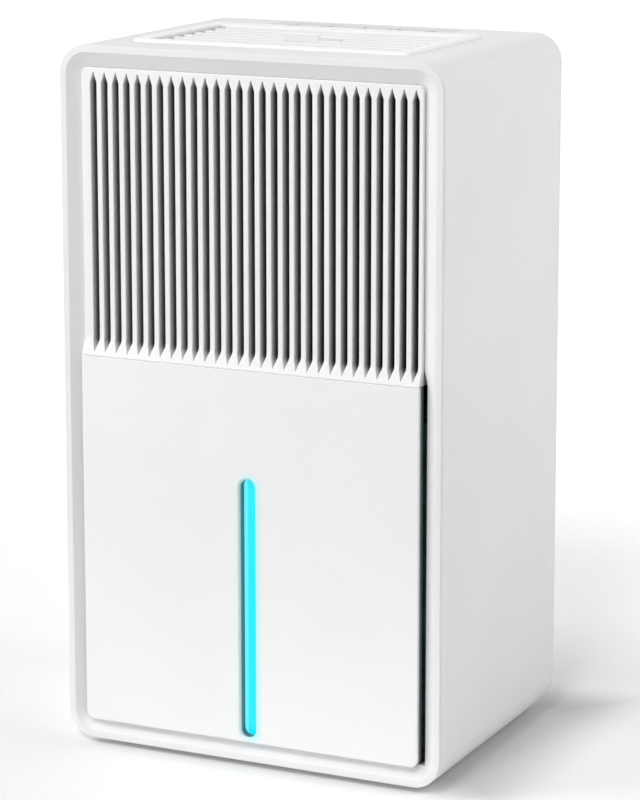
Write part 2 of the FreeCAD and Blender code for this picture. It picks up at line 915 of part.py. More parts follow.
def cooling_stack():
    """Cold sink, two modules in a foam gasket, hot sink and their screws."""
    holes = [rod("sink_screw + seam", (x, "cold_back - sink_base - overcut", z), "sink_base + 2 * overcut", "y")
             for x, z in sink_corners()]
    keep("cold_sink", finned_sink(
        "cold_half", "cold_back - sink_base", "cold_y", "cold_back", "cold_tall", "fin_count", holes,
    ))
    holes = [rod("sink_screw + pivot_gap", (x, "hot_y - overcut", z), "sink_base + 2 * overcut", "y")
             for x, z in sink_corners()]
    hot = finned_sink("hot_half", "hot_y", "hot_y", "hot_back", "hot_tall", "hot_fin_count", holes)
    keep("hot_sink", hot)
    modules = [
        block(
            (f"{side} * module_offset - module_side / 2", "cold_back", "module_z - module_side / 2"),
            (f"{side} * module_offset + module_side / 2", "hot_y", "module_z + module_side / 2"),
        )
        for side in (-1, 1)
    ]
    keep("cooling_modules", group(*modules))
    pad = block(
        ("-cold_half", "cold_back", "module_z - module_side / 2 - gasket_border"),
        ("cold_half", "hot_y", "module_z + module_side / 2 + gasket_border"),
    )
    pockets = [
        block(
            (f"{side} * module_offset - module_side / 2", "cold_back - overcut", "module_z - module_side / 2"),
            (f"{side} * module_offset + module_side / 2", "hot_y + overcut", "module_z + module_side / 2"),
        )
        for side in (-1, 1)
    ]
    holes = [rod("sink_screw + seam", (x, "cold_back - overcut", z), "module_thick + 2 * overcut", "y")
             for x, z in sink_corners()]
    keep("foam_gasket", cut(pad, *pockets, *holes))
    screws = [rod("sink_screw", (x, "cold_back - sink_base", z), "sink_base + module_thick + sink_base", "y")
              for x, z in sink_corners()]
    return keep("sink_screws", group(*screws))


def drip_tray():
    """Shallow tray under the cold sink with a spout through the deck."""
    low_z = "deck_z + sheet"
    outer = block(
        ("-tray_half", "cold_y - tray_wall", low_z), ("tray_half", "cold_back + tray_wall", "tray_top"),
    )
    inner = block(
        ("-tray_half + tray_wall", "cold_y", f"{low_z} + tray_wall"),
        ("tray_half - tray_wall", "cold_back", "tray_top + overcut"),
    )
    spout = rod("spout_radius", ("0", "drip_y", f"{low_z} - spout_drop"), "spout_drop + tray_wall / 2")
    bore = rod("spout_radius - tray_wall", ("0", "drip_y", f"{low_z} - spout_drop - overcut"),
               "spout_drop + tray_wall + 2 * overcut")
    return keep("drip_tray", cut(fuse(cut(outer, inner), spout), bore))


# ---------------------------------------------------------------- fan and outlet


def fan_corners():
    """Places of the four fan screws."""
    return [(f"{a} * fan_hole", f"fan_y + {b} * fan_hole") for a in (-1, 1) for b in (-1, 1)]


def fan_frame():
    """Square fan frame with a round bore, a hub plate and four struts."""
    square = rounded(
        ("-fan_side / 2", "fan_y - fan_side / 2", "fan_z"),
        ("fan_side / 2", "fan_y + fan_side / 2", "fan_top"),
        "z", "outlet_round",
    )
    bore = rod("fan_bore", ("0", "fan_y", "fan_z - overcut"), "fan_thick + 2 * overcut")
    holes = [rod("fan_screw + pivot_gap", (x, y, "fan_z - overcut"), "fan_thick + 2 * overcut")
             for x, y in fan_corners()]
    hub = rod("hub_radius", ("0", "fan_y", "fan_z"), "strut_tall")
    across = block(("-fan_bore - overcut", "fan_y - strut_wide / 2", "fan_z"),
                   ("fan_bore + overcut", "fan_y + strut_wide / 2", "fan_z + strut_tall"))
    along_y = block(("-strut_wide / 2", "fan_y - fan_bore - overcut", "fan_z"),
                    ("strut_wide / 2", "fan_y + fan_bore + overcut", "fan_z + strut_tall"))
    return keep("fan_frame", fuse(cut(square, bore, *holes), hub, across, along_y))


def fan_motor():
    """Round stator on the hub plate with the bearing bore of the fan's shaft."""
    stator = rod("motor_radius", ("0", "fan_y", "fan_z + strut_tall"), "motor_tall")
    bore = rod(
        "shaft_radius + shaft_gap", ("0", "fan_y", "fan_z + strut_tall - overcut"), "motor_tall + 2 * overcut",
    )
    return keep("fan_motor", cut(stator, bore))


def fan_rotor():
    """Cup with its shaft and a ring of twisted blades."""
    low_z = "fan_z + strut_tall + overcut"
    high_z = "fan_top - overcut"
    cup = rod("hub_radius", ("0", "fan_y", low_z), f"{high_z} - ({low_z})")
    hollow = rod("hub_radius - hub_wall", ("0", "fan_y", f"{low_z} - overcut"),
                 f"{high_z} - hub_wall - ({low_z}) + overcut")
    shaft = rod("shaft_radius", ("0", "fan_y", "fan_z + strut_tall + overcut / 2"),
                f"{high_z} - hub_wall / 2 - (fan_z + strut_tall + overcut / 2)")
    blades = []
    for index in range(SIZES["blade_count"]):
        blades.append(fan_blade(index))
    return keep("fan_rotor", fuse(cut(cup, hollow), shaft, *blades))


def fan_blade(index):
    """One flat blade, pitched about its own radius and turned about the shaft."""
    blade = doc.addObject("Part::Box", "blade")
    bind(blade, Length="blade_reach - hub_radius + hub_wall / 2", Width="blade_thick", Height="blade_chord")
    pitched = doc.addObject("Part::Compound", "pitched")
    blade.Placement = Placement(Vector(), Rotation(Vector(1, 0, 0), SIZES["blade_pitch"]))
    bind_base(blade, ("hub_radius - hub_wall / 2",
                      "blade_chord / 2 * sin(blade_pitch)", "-blade_chord / 2 * cos(blade_pitch)"))
    bind(blade, Placement__Rotation__Angle="blade_pitch")
    pitched.Links = [blade]
    pitched.Placement = Placement(Vector(), Rotation(Vector(0, 0, 1), 360.0 * index / SIZES["blade_count"]))
    bind_base(pitched, ("0", "fan_y", "fan_z + strut_tall / 2 + fan_thick / 2"))
    return pitched


def fan_screws():
    """Four screws that hold the fan to its shroud."""
    screws = [
        fuse(rod("fan_screw", (x, y, "fan_z - overcut / 2"), "fan_thick + sheet + overcut / 2"),
             rod("fan_head", (x, y, "fan_z - 2 * overcut"), "2 * overcut"))
        for x, y in fan_corners()
    ]
    return keep("fan_screws", group(*screws))


def fan_shroud():
    """Tray that carries the fan and leads its air up to the outlet frame."""
    outer = block(("-plug_x", "plug_y", "fan_top"), ("plug_x", "plug_back", "outlet_low"))
    inner = block(
        ("-plug_x + sheet", "plug_y + sheet", "fan_top + sheet"),
        ("plug_x - sheet", "plug_back - sheet", "outlet_low + overcut"),
    )
    bore = rod("fan_bore", ("0", "fan_y", "fan_top - overcut"), "sheet + 2 * overcut")
    holes = [rod("fan_screw + pivot_gap", (x, y, "fan_top - overcut"), "sheet + 2 * overcut")
             for x, y in fan_corners()]
    return keep("fan_shroud", cut(outer, inner, bore, *holes))


def louvre_y(index):
    """Place of a louvre's pivot line along Y."""
    return f"mouth_y + ({index} + 0.5) * louvre_pitch"


def outlet_frame():
    """Bezel and sleeve of the top outlet, with a pivot hole at each end of every louvre."""
    bezel = rounded(
        ("-outlet_half", "rim_y + outlet_start", "top_z"),
        ("outlet_half", "outlet_back", "top_z + outlet_rise"),
        "z", "outlet_round",
    )
    plug = block(("-plug_x", "plug_y", "outlet_low"), ("plug_x", "plug_back", "top_z + outlet_rise / 2"))
    mouth = block(
        ("-mouth_half", "mouth_y", "outlet_low - overcut"),
        ("mouth_half", "mouth_back", "top_z + outlet_rise + overcut"),
    )
    holes = [
        rod("pivot_radius + pivot_gap", ("-pivot_reach - sliding_gap", louvre_y(index), "louvre_z"),
            "2 * (pivot_reach + sliding_gap)", "x")
        for index in range(SIZES["louvre_count"])
    ]
    return keep("outlet_frame", cut(fuse(bezel, plug), mouth, *holes))


def louvre(index):
    """Tilting blade with end pivots and a crank pin; made flat about its pivot line, then tilted."""
    blade = rounded(
        ("-louvre_half", "-louvre_chord / 2", "-louvre_thick / 2"),
        ("louvre_half", "louvre_chord / 2", "louvre_thick / 2"),
        "x", "louvre_edge",
    )
    pivots = [
        rod("pivot_radius", ("-pivot_reach", "0", "0"), "pivot_reach - louvre_half + overcut", "x"),
        rod("pivot_radius", ("louvre_half - overcut", "0", "0"), "pivot_reach - louvre_half + overcut", "x"),
    ]
    arm = block(
        ("louvre_half - crank_arm", "-crank_back - 2 * crank_radius", "-crank_drop - 2 * crank_radius"),
        ("louvre_half", "-crank_back + 2 * crank_radius", "0"),
    )
    crank = rod("crank_radius", ("louvre_half - overcut", "-crank_back", "-crank_drop"),
                "link_start + link_thick + sliding_gap - louvre_half + overcut", "x")
    pieces = [blade, *pivots, arm, crank]
    if index == TAB_LOUVRE:
        pieces.append(thumb_tab())
    solid = fuse(*pieces)
    if index == TAB_LOUVRE + 1:
        solid = cut(solid, finger_notch("louvre_chord / 2 - notch_front", "louvre_chord / 2 + overcut"))
    if index == TAB_LOUVRE + 2:
        solid = cut(solid, finger_notch("-louvre_chord / 2 - overcut", "notch_back - louvre_chord / 2"))
    tilted = group(solid)
    tilted.Placement = Placement(Vector(), Rotation(Vector(1, 0, 0), SIZES["louvre_tilt"]))
    bind(tilted, Placement__Rotation__Angle="louvre_tilt")
    bind_base(tilted, ("0", louvre_y(index), "louvre_z"))
    return keep(f"louvre_{index + 1}", tilted)


def thumb_tab():
    """Upright tab on a louvre's rear edge, with rounded top corners."""
    return rounded(
        ("tab_shift - tab_wide / 2", "louvre_chord / 2 - tab_thick - seam", "0"),
        ("tab_shift + tab_wide / 2", "louvre_chord / 2 - seam", "louvre_thick / 2 + tab_tall"),
        "y", "tab_round", region=lambda box: box.ZMin > evaluate("tab_tall / 2"),
    )


def finger_notch(start, end):
    """Gap for a fingertip behind the thumb tab."""
    return block(("-notch_left", start, "-louvre_thick"), ("notch_right", end, "louvre_thick"))


def crank_place(index):
    """Place of a louvre's crank pin in the case's frame, as a pair of formulas."""
    back = "crank_back * cos(louvre_tilt) - crank_drop * sin(louvre_tilt)"
    drop = "crank_back * sin(louvre_tilt) + crank_drop * cos(louvre_tilt)"
    return f"{louvre_y(index)} - ({back})", f"louvre_z - ({drop})"


def louvre_link():
    """Bar that joins the crank pins of all the louvres; it runs close on one and loose on the rest."""
    count = SIZES["louvre_count"]
    first_y, pin_z = crank_place(0)
    last_y = crank_place(count - 1)[0]
    bar = rounded(
        ("link_start", f"{first_y} - link_end", f"{pin_z} - link_tall / 2"),
        ("link_start + link_thick", f"{last_y} + link_end", f"{pin_z} + link_tall / 2"),
        "x", "link_end - seam",
    )
    holes = []
    for index in range(count):
        spare = "pivot_gap" if index == TAB_LOUVRE else "link_loose"
        pin_y = crank_place(index)[0]
        holes.append(rod(f"crank_radius + {spare}", ("link_start - overcut", pin_y, pin_z),
                         "link_thick + 2 * overcut", "x"))
    return keep("louvre_link", cut(bar, *holes))


# ---------------------------------------------------------------- controls


def key_x(index):
    """Place of a key along X."""
    return f"({index} - (key_count - 1) / 2) * key_pitch"


def control_panel():
    """Strip set flush in the top, with a flange under the case wall and a hole for each key."""
    strip = block(("-strip_half", "strip_y", "flange_low"), ("strip_half", "strip_back", "top_z"))
    flange = block(
        ("-strip_half - strip_lap", "strip_y - strip_lap", "flange_low"),
        ("strip_half + strip_lap", "strip_back + strip_lap", "strip_low"),
    )
    holes = [rod("key_radius + key_gap", (key_x(index), "key_y", "flange_low - overcut"),
                 "strip_thick + strip_flange + 2 * overcut")
             for index in range(SIZES["key_count"])]
    return keep("control_panel", cut(fuse(strip, flange), *holes))


def key(name, index):
    """Round key: head, retaining flange under the panel and a stem above its switch."""
    x = key_x(index)
    head = rod("key_radius", (x, "key_y", "flange_low - seam"), "key_top - flange_low + seam")
    flange = rod("key_flange", (x, "key_y", "flange_low - seam - key_flange_thick"), "key_flange_thick")
    stem = rod("key_stem", (x, "key_y", "key_low"), "key_stem_drop")
    return keep(name, fuse(head, flange, stem))


def control_board():
    """Board under the keys, its switches and the posts that hang it from the panel."""
    middle_y = "(strip_y + strip_back) / 2"
    board = block(
        ("-strip_half", "strip_y", "board_z - board_thick"), ("strip_half", "strip_back", "board_z"),
    )
    keep("control_board", board)
    switches = []
    for index in range(SIZES["key_count"]):
        x = key_x(index)
        case = block((f"{x} - switch_side / 2", "key_y - switch_side / 2", "board_z"),
                     (f"{x} + switch_side / 2", "key_y + switch_side / 2", "board_z + switch_tall"))
        plunger = rod("plunger_radius", (x, "key_y", "board_z + switch_tall"), "plunger_tall")
        switches.append(fuse(case, plunger))
    keep("key_switches", group(*switches))
    posts = [rod("plunger_radius", (f"{side} * post_side", middle_y, "board_z"), "flange_low - board_z")
             for side in (-1, 1)]
    return keep("panel_posts", group(*posts))


# ---------------------------------------------------------------- rear electronics


def main_board():
    """Power board on posts behind the bay wall, with its larger parts."""
    face = "main_y + board_thick"
    keep("main_board", block(("-board_half", "main_y", "main_z"), ("board_half", face, "main_z + board_tall")))
    posts = [
        rod("board_post", (f"{side} * (board_half - board_margin)", "wall_y + sheet", f"main_z + {level}"),
            "board_stand", "y")
        for side in (-1, 1) for level in ("board_margin", "board_tall - board_margin")
    ]
    keep("board_posts", group(*posts))
    coil = rod("motor_radius", ("-coil_x", face, "main_z + coil_rise"), "motor_tall", "y")
    core = rod("spout_radius", ("-coil_x", f"{face} - overcut", "main_z + coil_rise"), "motor_tall + 2 * overcut", "y")
    keep("power_coil", cut(coil, core))
    cans = [
        rod("can_radius", (f"{index} * can_pitch - can_first", face, "main_z + can_rise"),
            f"(cover_y - ({face})) * can_fill", "y")
        for index in range(int(SIZES["can_count"]))
    ]
    keep("capacitors", group(*cans))
    cooler = block(
        ("cooler_x", face, "main_z + cooler_rise"),
        ("cooler_x + cooler_wide", f"{face} + motor_tall", "main_z + cooler_rise + cooler_tall"),
    )
    return keep("board_heat_sink", cooler)


def dc_inlet():
    """Round low-voltage inlet behind the rear cover, with its centre pin."""
    centre = ("jack_x", "jack_y", "jack_height")
    case = block(
        ("jack_x - jack_body", "jack_y", "jack_height - jack_body"),
        ("jack_x + jack_body", "cover_y", "jack_height + jack_body"),
    )
    nose = rod("jack_nose", centre, "cover_back - (jack_y)", "y")
    bore = rod(
        "jack_bore", ("jack_x", "cover_back - jack_bore_deep", "jack_height"), "jack_bore_deep + overcut", "y",
    )
    pin = rod("jack_pin", ("jack_x", "cover_back - jack_bore_deep - overcut", "jack_height"),
              "jack_bore_deep + overcut - sliding_gap", "y")
    return keep("dc_inlet", fuse(cut(fuse(case, nose), bore), pin))


def level_sensor():
    """Small magnetic switch behind the bay wall at the full level."""
    return keep("level_sensor", block(
        ("post_x - switch_side", "wall_y + sheet", "tank_top - 2 * float_tall - switch_side"),
        ("post_x + switch_side", "wall_y + sheet + switch_tall", "tank_top - 2 * float_tall + switch_side"),
    ))


def light_board():
    """Lamp board under the deck, above the light bar."""
    return keep("light_board", block(
        ("-bar_half", "window_back", "split_z + sliding_gap"),
        ("bar_half", "ring_y + grille_rail", "split_z + sliding_gap + board_thick"),
    ))


# ---------------------------------------------------------------- water tank


def water_tank():
    """Open clear box with a round post for the float."""
    outer = rounded(
        ("-tank_side", "tank_y", "tank_low"), ("tank_side", "tank_back", "tank_top"), "z", "tank_round",
    )
    inner = rounded(
        ("-tank_side + tank_wall", "tank_y + tank_wall", "tank_low + tank_wall"),
        ("tank_side - tank_wall", "tank_back - tank_wall", "tank_top + overcut"),
        "z", "tank_round - tank_wall",
    )
    post = rod(
        "post_radius", ("post_x", "post_y", "tank_low + tank_wall / 2"),
        "tank_top - tank_low - tank_wall / 2 - lid_lap - seam",
    )
    return keep("water_tank", fuse(cut(outer, inner), post))


def tank_lid():
    """Lid with a lip inside the tank, a drip hole under the spout and a pouring corner."""
    plate = rounded(
        ("-tank_side", "tank_y", "tank_top"), ("tank_side", "tank_back", "tank_top + lid_thick"),
        "z", "tank_round",
    )
    lip = rounded(
        ("-tank_side + tank_wall + seam", "tank_y + tank_wall + seam", "tank_top - lid_lap"),
        ("tank_side - tank_wall - seam", "tank_back - tank_wall - seam", "tank_top + lid_thick / 2"),
        "z", "tank_round - tank_wall - seam",
    )
    inside = rounded(
        ("-tank_side + 2 * tank_wall", "tank_y + 2 * tank_wall", "tank_top - lid_lap - overcut"),
        ("tank_side - 2 * tank_wall", "tank_back - 2 * tank_wall", "tank_top"),
        "z", "tank_round - 2 * tank_wall",
    )
    drip = rod("drip_radius", ("0", "drip_y", "tank_top - overcut"), "lid_thick + 2 * overcut")
    spout = block(
        ("-tank_side + 3 * tank_wall", "tank_y + 4 * tank_wall", "tank_top - overcut"),
        (
            "-tank_side + 3 * tank_wall + 2 * drip_radius", "tank_y + 4 * tank_wall + drip_radius",
            "tank_top + lid_thick + overcut",
        ),
    )
    return keep("tank_lid", cut(fuse(plate, lip), inside, drip, spout))


def tank_front():
    """Proud front shell of the tank with the level window's slot and lugs to the tank wall."""
    outer = rounded(
        ("-shell_x", "face_y", "shell_low"), ("shell_x", "shell_back", "split_z - seam"),
        "y", "shell_round", region=lambda box: box.ZMax < evaluate("shell_low + shell_round"),
        soft=("face_y", "edge_soft"),
    )
    inner = block(
        ("-shell_x + shell_wall", "face_y + shell_wall", "shell_low + shell_wall - seam"),
        ("shell_x - shell_wall", "shell_back + overcut", "split_z - seam - shell_wall"),
    )
    collar = round_ended("window_hole + window_wall", "window_z - window_wall + window_bevel",
                         "window_top + window_wall - window_bevel", "face_y + shell_wall / 2", "window_back")
    hole = round_ended("window_hole", "window_z + window_bevel", "window_top - window_bevel",
                       "face_y - overcut", "window_back + overcut")
    bevel = round_ended("window_half", "window_z", "window_top", "face_y", "face_y + window_bevel", "window_bevel")
    lugs = [
        rod("lug_radius", (f"{side} * lug_side", "face_y + shell_wall / 2", z),
            "tank_y - face_y - shell_wall / 2", "y")
        for side in (-1, 1) for z in ("tank_low + 2 * shell_round", "tank_top - 2 * shell_round")
    ]
    return keep("tank_front", cut(fuse(cut(outer, inner), collar, *lugs), hole, bevel))


def light_bar():
    """Clear bar behind the window's slot; it reaches up to the lamp board."""
    bar = block(("-bar_half", "window_back", "bar_low + bar_half"),
                ("bar_half", "window_back + bar_thick", "split_z - seam"))
    foot = rod("bar_half", ("0", "window_back", "bar_low + bar_half"), "bar_thick", "y")
    return keep("light_bar", fuse(bar, foot))


def tank_float():
    """Foam ring on the post, with a ring magnet set in its top."""
    ring = rod("float_radius", ("post_x", "post_y", "float_z"), "float_tall")
    pocket = rod(
        "magnet_radius", ("post_x", "post_y", "float_z + float_tall - magnet_tall"), "magnet_tall + overcut",
    )
    bore = rod(
        "post_radius + sliding_gap", ("post_x", "post_y", "float_z - overcut"), "float_tall + 2 * overcut",
    )
    keep("tank_float", cut(ring, pocket, bore))
    magnet = rod("magnet_radius", ("post_x", "post_y", "float_z + float_tall - magnet_tall"), "magnet_tall")
    hole = rod("post_radius + sliding_gap", ("post_x", "post_y", "float_z"), "float_tall + overcut")
    return keep("float_magnet", cut(magnet, hole))


TAB_LOUVRE = 2
KEYS = ("key_power", "key_timer", "key_mode", "key_fan", "key_light")


def build():
    """Make every sub-part."""
    make_sheet()
    housing_sleeve()
    front_frame()
    rear_cover()
    rear_screws()
    feet()
    deck()
    bay_wall()
    tank_rails()
    intake_grille()
    filter_frame()
    cooling_stack()
    drip_tray()
    fan_frame()
    fan_motor()
    fan_rotor()
    fan_screws()
    fan_shroud()
    outlet_frame()
    for index in range(SIZES["louvre_count"]):
        louvre(index)
    louvre_link()
    control_panel()
    for index, name in enumerate(KEYS):
        key(name, index)
    control_board()
    main_board()
    dc_inlet()
    level_sensor()
    light_board()
    water_tank()
    tank_lid()
    tank_front()
    light_bar()
    tank_float()
    doc.recompute()


def check():
    """Stop if any object failed or any sub-part has no valid shape."""
    for item in doc.Objects:
        if "Invalid" in item.State or "Error" in item.State:
            raise RuntimeError(f"{item.Name} ({item.Label}) did not compute: {item.State}")
    for name, piece in parts.items():
        if piece.Shape.isNull() or not piece.Shape.isValid():
            raise RuntimeError(f"{name} has no valid shape")


def write():
    """Write one file for each sub-part."""
    os.makedirs("parts", exist_ok=True)
    for name, piece in parts.items():
        piece.Shape.exportStep(f"parts/{name}.step")
        print(f"{name}: {len(piece.Shape.Solids)} solid(s), {piece.Shape.Volume:.0f} mm3")


build()
check()
write()
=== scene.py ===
import math

import bmesh
import bpy
import numpy as np
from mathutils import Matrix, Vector


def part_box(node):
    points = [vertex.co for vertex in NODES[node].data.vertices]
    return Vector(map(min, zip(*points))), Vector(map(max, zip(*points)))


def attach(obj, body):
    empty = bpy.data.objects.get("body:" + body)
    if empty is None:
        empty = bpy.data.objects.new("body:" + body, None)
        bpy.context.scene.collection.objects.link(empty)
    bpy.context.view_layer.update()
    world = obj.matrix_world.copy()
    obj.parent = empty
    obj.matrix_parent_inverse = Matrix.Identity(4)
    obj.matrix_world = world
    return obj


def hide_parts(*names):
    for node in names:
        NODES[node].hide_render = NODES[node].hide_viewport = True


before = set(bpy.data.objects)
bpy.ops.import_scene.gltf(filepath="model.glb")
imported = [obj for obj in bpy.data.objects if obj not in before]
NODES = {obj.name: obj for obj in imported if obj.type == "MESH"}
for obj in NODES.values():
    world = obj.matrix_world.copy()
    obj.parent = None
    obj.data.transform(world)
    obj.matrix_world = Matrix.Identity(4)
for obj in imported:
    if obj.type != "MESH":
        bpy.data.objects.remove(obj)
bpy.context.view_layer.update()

MM = 0.001


# ---------------------------------------------------------------- shader arithmetic


class Wire:
    """A shader socket that takes part in arithmetic; each operation adds its Math node."""

    def __init__(self, finish, socket):
        self.finish = finish
        self.socket = socket

    def math(self, operation, *others):
        values = dict(enumerate((self, *others)))
        return self.finish.node("ShaderNodeMath", {"operation": operation}, values)

    def __add__(self, other):
        return self.math("ADD", other)

    __radd__ = __add__

    def __mul__(self, other):
        return self.math("MULTIPLY", other)

    __rmul__ = __mul__

    def __sub__(self, other):
        return self.math("SUBTRACT", other)

    def __rsub__(self, other):
        return self.finish.node("ShaderNodeMath", {"operation": "SUBTRACT"}, {0: other, 1: self})

    def __truediv__(self, other):
        return self.math("DIVIDE", other)

    def ramp(self, low, high, start=0.0, end=1.0):
        """Smooth step of this value from low to high."""
        settings = {"interpolation_type": "SMOOTHSTEP"}
        values = {"Value": self, "From Min": low, "From Max": high, "To Min": start, "To Max": end}
        return self.finish.node("ShaderNodeMapRange", settings, values)


class Finish:
    """A material built on one Principled shader."""

    def __init__(self, name):
        self.material = bpy.data.materials.new(name)
        self.material.use_nodes = True
        self.tree = self.material.node_tree
        self.shader = self.tree.nodes["Principled BSDF"]

    def node(self, kind, settings=None, values=None, output=0):
        """Make a node: its settings first, then the values or links of its sockets."""
        made = self.tree.nodes.new(kind)
        for key, value in (settings or {}).items():
            setattr(made, key, value)
        for key, value in (values or {}).items():
            self.feed(made.inputs[key], value)
        return Wire(self, made.outputs[output])

    def feed(self, socket, value):
        """Link a wire to a socket, or set the socket's own value."""
        if isinstance(value, Wire):
            self.tree.links.new(value.socket, socket)
        elif isinstance(value, tuple) and len(value) == 3 and socket.type == "RGBA":
            socket.default_value = (*value, 1.0)
        else:
            socket.default_value = value

    def set(self, **sockets):
        """Feed sockets of the Principled shader; an underscore stands for a space."""
        for key, value in sockets.items():
            self.feed(self.shader.inputs[key.replace("_", " ")], value)
        return self

    def place(self):
        """Object coordinates, in metres."""
        return self.node("ShaderNodeTexCoord", output="Object")

    def axis(self, letter):
        """One coordinate of the surface point."""
        return self.node("ShaderNodeSeparateXYZ", None, {0: self.place()}, output=letter)

    def noise(self, scale, detail=2.0, stretch=(1.0, 1.0, 1.0), rough=0.5):
        """Noise with about one blotch in 1/scale metres."""
        where = self.node("ShaderNodeMapping", None, {"Vector": self.place(), "Scale": stretch})
        values = {"Vector": where, "Scale": scale, "Detail": detail, "Roughness": rough}
        return self.node("ShaderNodeTexNoise", None, values)

    def mix(self, factor, first, second):
        """Colour between two colours."""
        settings = {"data_type": "RGBA"}
        values = {0: factor, 6: first, 7: second}
        return self.node("ShaderNodeMix", settings, values, output=2)

    def bump(self, height, strength, distance):
        """Normal disturbed by a height in units of distance."""
        values = {"Height": height, "Strength": strength, "Distance": distance}
        return self.node("ShaderNodeBump", None, values)


# ---------------------------------------------------------------- finishes


def grey(tone):
    """An even grey."""
    return (tone, tone, tone)


def shade(colour, amount):
    """A colour made lighter or darker."""
    return tuple(min(1.0, part * amount) for part in colour)


def moulded(name, colour, rough, grain=0.35, coat=0.0):
    """Moulded plastic: faint flow clouding, uneven gloss and a fine spark-eroded grain."""
    finish = Finish(name)
    cloud = finish.noise(9.0, 3.0)
    fine = finish.noise(2600.0, 2.0)
    haze = finish.noise(60.0, 4.0)
    finish.set(
        Base_Color=finish.mix(cloud.ramp(0.3, 0.7), shade(colour, 0.985), shade(colour, 1.012)),
        Roughness=haze * 0.08 + cloud * 0.03 + (rough - 0.055),
        Normal=finish.bump(fine, grain, 0.00003),
        Coat_Weight=coat,
        Coat_Roughness=0.08,
        IOR=1.47,
    )
    return finish.material


def slotted(name, colour, front, back):
    """Moulded plastic whose slot walls are painted shadow grey between two depths."""
    finish = Finish(name)
    cloud = finish.noise(9.0, 3.0)
    haze = finish.noise(60.0, 4.0)
    # Painted shade: the colour sinks to shadow grey between the front and back depths, on the slot walls.
    depth = finish.axis("Y").ramp(front, back)
    face = finish.mix(cloud.ramp(0.3, 0.7), shade(colour, 0.985), shade(colour, 1.012))
    finish.set(
        Base_Color=finish.mix(depth, face, (0.17, 0.17, 0.172)),
        Roughness=haze * 0.08 + 0.36,
        Normal=finish.bump(finish.noise(2600.0), 0.35, 0.00003),
        IOR=1.47,
    )
    return finish.material


def ridged(name, colour, low_z, middle_z, high_z):
    """Moulded plastic of the outlet, coloured by height: painted shade grey down between the louvres and in
    the mouth, painted highlight palest on ridges, the bezel's crown and the thumb tab.
    """
    finish = Finish(name)
    cloud = finish.noise(9.0, 3.0)
    haze = finish.noise(60.0, 4.0)
    z = finish.axis("Z")
    face = finish.mix(cloud.ramp(0.3, 0.7), shade(colour, 0.985), shade(colour, 1.012))
    # Painted shade: grey below middle_z, down between the louvres and in the mouth.
    painted_gap_shade = finish.mix(z.ramp(low_z, middle_z), (0.30, 0.30, 0.305), face)
    # Painted highlight: near white above middle_z, on the ridges, the bezel's crown and the thumb tab.
    finish.set(
        Base_Color=finish.mix(z.ramp(middle_z, high_z), painted_gap_shade, (0.97, 0.97, 0.97)),
        Roughness=haze * 0.08 + 0.32,
        Normal=finish.bump(finish.noise(2600.0), 0.35, 0.00003),
        IOR=1.47,
    )
    return finish.material


def lit_shell(name, colour, face_y, low_z, high_z, half):
    """Front shell: plastic, painted shadow grey down its flanks and the window's walls, with a painted cyan
    glow beside the lit window.

    The glow falls off with the distance from the window's edge: max(0, |(x, dz)| - half), where dz is
    how far the point is past either end of the straight part.
    """
    finish = Finish(name)
    x, z = finish.axis("X"), finish.axis("Z")
    past = (z - high_z).math("MAXIMUM", low_z - z).math("MAXIMUM", 0.0)
    reach = ((x * x + past * past).math("SQRT") - half).math("MAXIMUM", 0.0)
    # Painted glow: a cyan tint and emission beside the window, strongest on its right, though the shell is
    # no lamp.
    lean = x.ramp(-0.006, 0.006, 0.15, 1.0)
    glow = reach.ramp(0.0042, 0.0) * lean
    # Painted shade: the flanks and the window's walls turn shadow grey with depth behind the front.
    painted_wall_shade = x.math("ABSOLUTE").ramp(SHELL_HIGH.x - 0.0020, SHELL_HIGH.x - 0.0012)
    painted_wall_shade = painted_wall_shade.math("MAXIMUM", reach.ramp(0.0015, 0.0005))
    depth = finish.axis("Y").ramp(face_y + 0.0007, face_y + 0.0030) * painted_wall_shade
    cloud = finish.noise(9.0, 3.0)
    haze = finish.noise(60.0, 4.0)
    face = finish.mix(cloud.ramp(0.3, 0.7), shade(colour, 0.985), shade(colour, 1.012))
    face = finish.mix(glow * 0.75, face, (0.42, 0.90, 0.92))
    finish.set(
        Base_Color=finish.mix(depth, face, (0.15, 0.165, 0.17)),
        Roughness=haze * 0.07 + 0.28,
        Normal=finish.bump(finish.noise(2600.0), 0.3, 0.00003),
        Emission_Color=finish.mix(glow * glow, (0.0, 0.0, 0.0), (0.0, 0.10, 0.11)),
        Emission_Strength=1.0,
        IOR=1.47,
    )
    return finish.material


def rubber(name, colour):
    """Soft rubber with a dusty, uneven surface."""
    finish = Finish(name)
    dust = finish.noise(220.0, 5.0)
    finish.set(
        Base_Color=finish.mix(dust.ramp(0.45, 0.75), colour, shade(colour, 1.7)),
        Roughness=dust * 0.2 + 0.62,
        Normal=finish.bump(dust, 0.3, 0.0001),
    )
    return finish.material


def metal(name, colour, rough, stretch):
    """Drawn or extruded metal with fine lines along one direction."""
    finish = Finish(name)
    lines = finish.noise(900.0, 3.0, stretch)
    stain = finish.noise(35.0, 4.0)
    finish.set(
        Base_Color=finish.mix(stain.ramp(0.35, 0.75), shade(colour, 0.86), colour),
        Roughness=lines * 0.16 + (rough - 0.08),
        Metallic=1.0,
        Normal=finish.bump(lines, 0.35, 0.00004),
    )
    return finish.material


def board(name):
    """Printed board: green lacquer over a grid of fine copper tracks."""
    finish = Finish(name)
    pitch = 0.00254
    across = (finish.axis("X") / pitch).math("FRACT").ramp(0.42, 0.5)
    upward = (finish.axis("Z") / pitch).math("FRACT").ramp(0.42, 0.5)
    tracks = across.math("MAXIMUM", upward) * finish.noise(160.0, 1.0).ramp(0.48, 0.52)
    finish.set(
        Base_Color=finish.mix(tracks, (0.01, 0.085, 0.035), (0.03, 0.19, 0.07)),
        Roughness=finish.noise(120.0) * 0.1 + 0.24,
        Normal=finish.bump(tracks, 0.5, 0.00005),
    )
    return finish.material


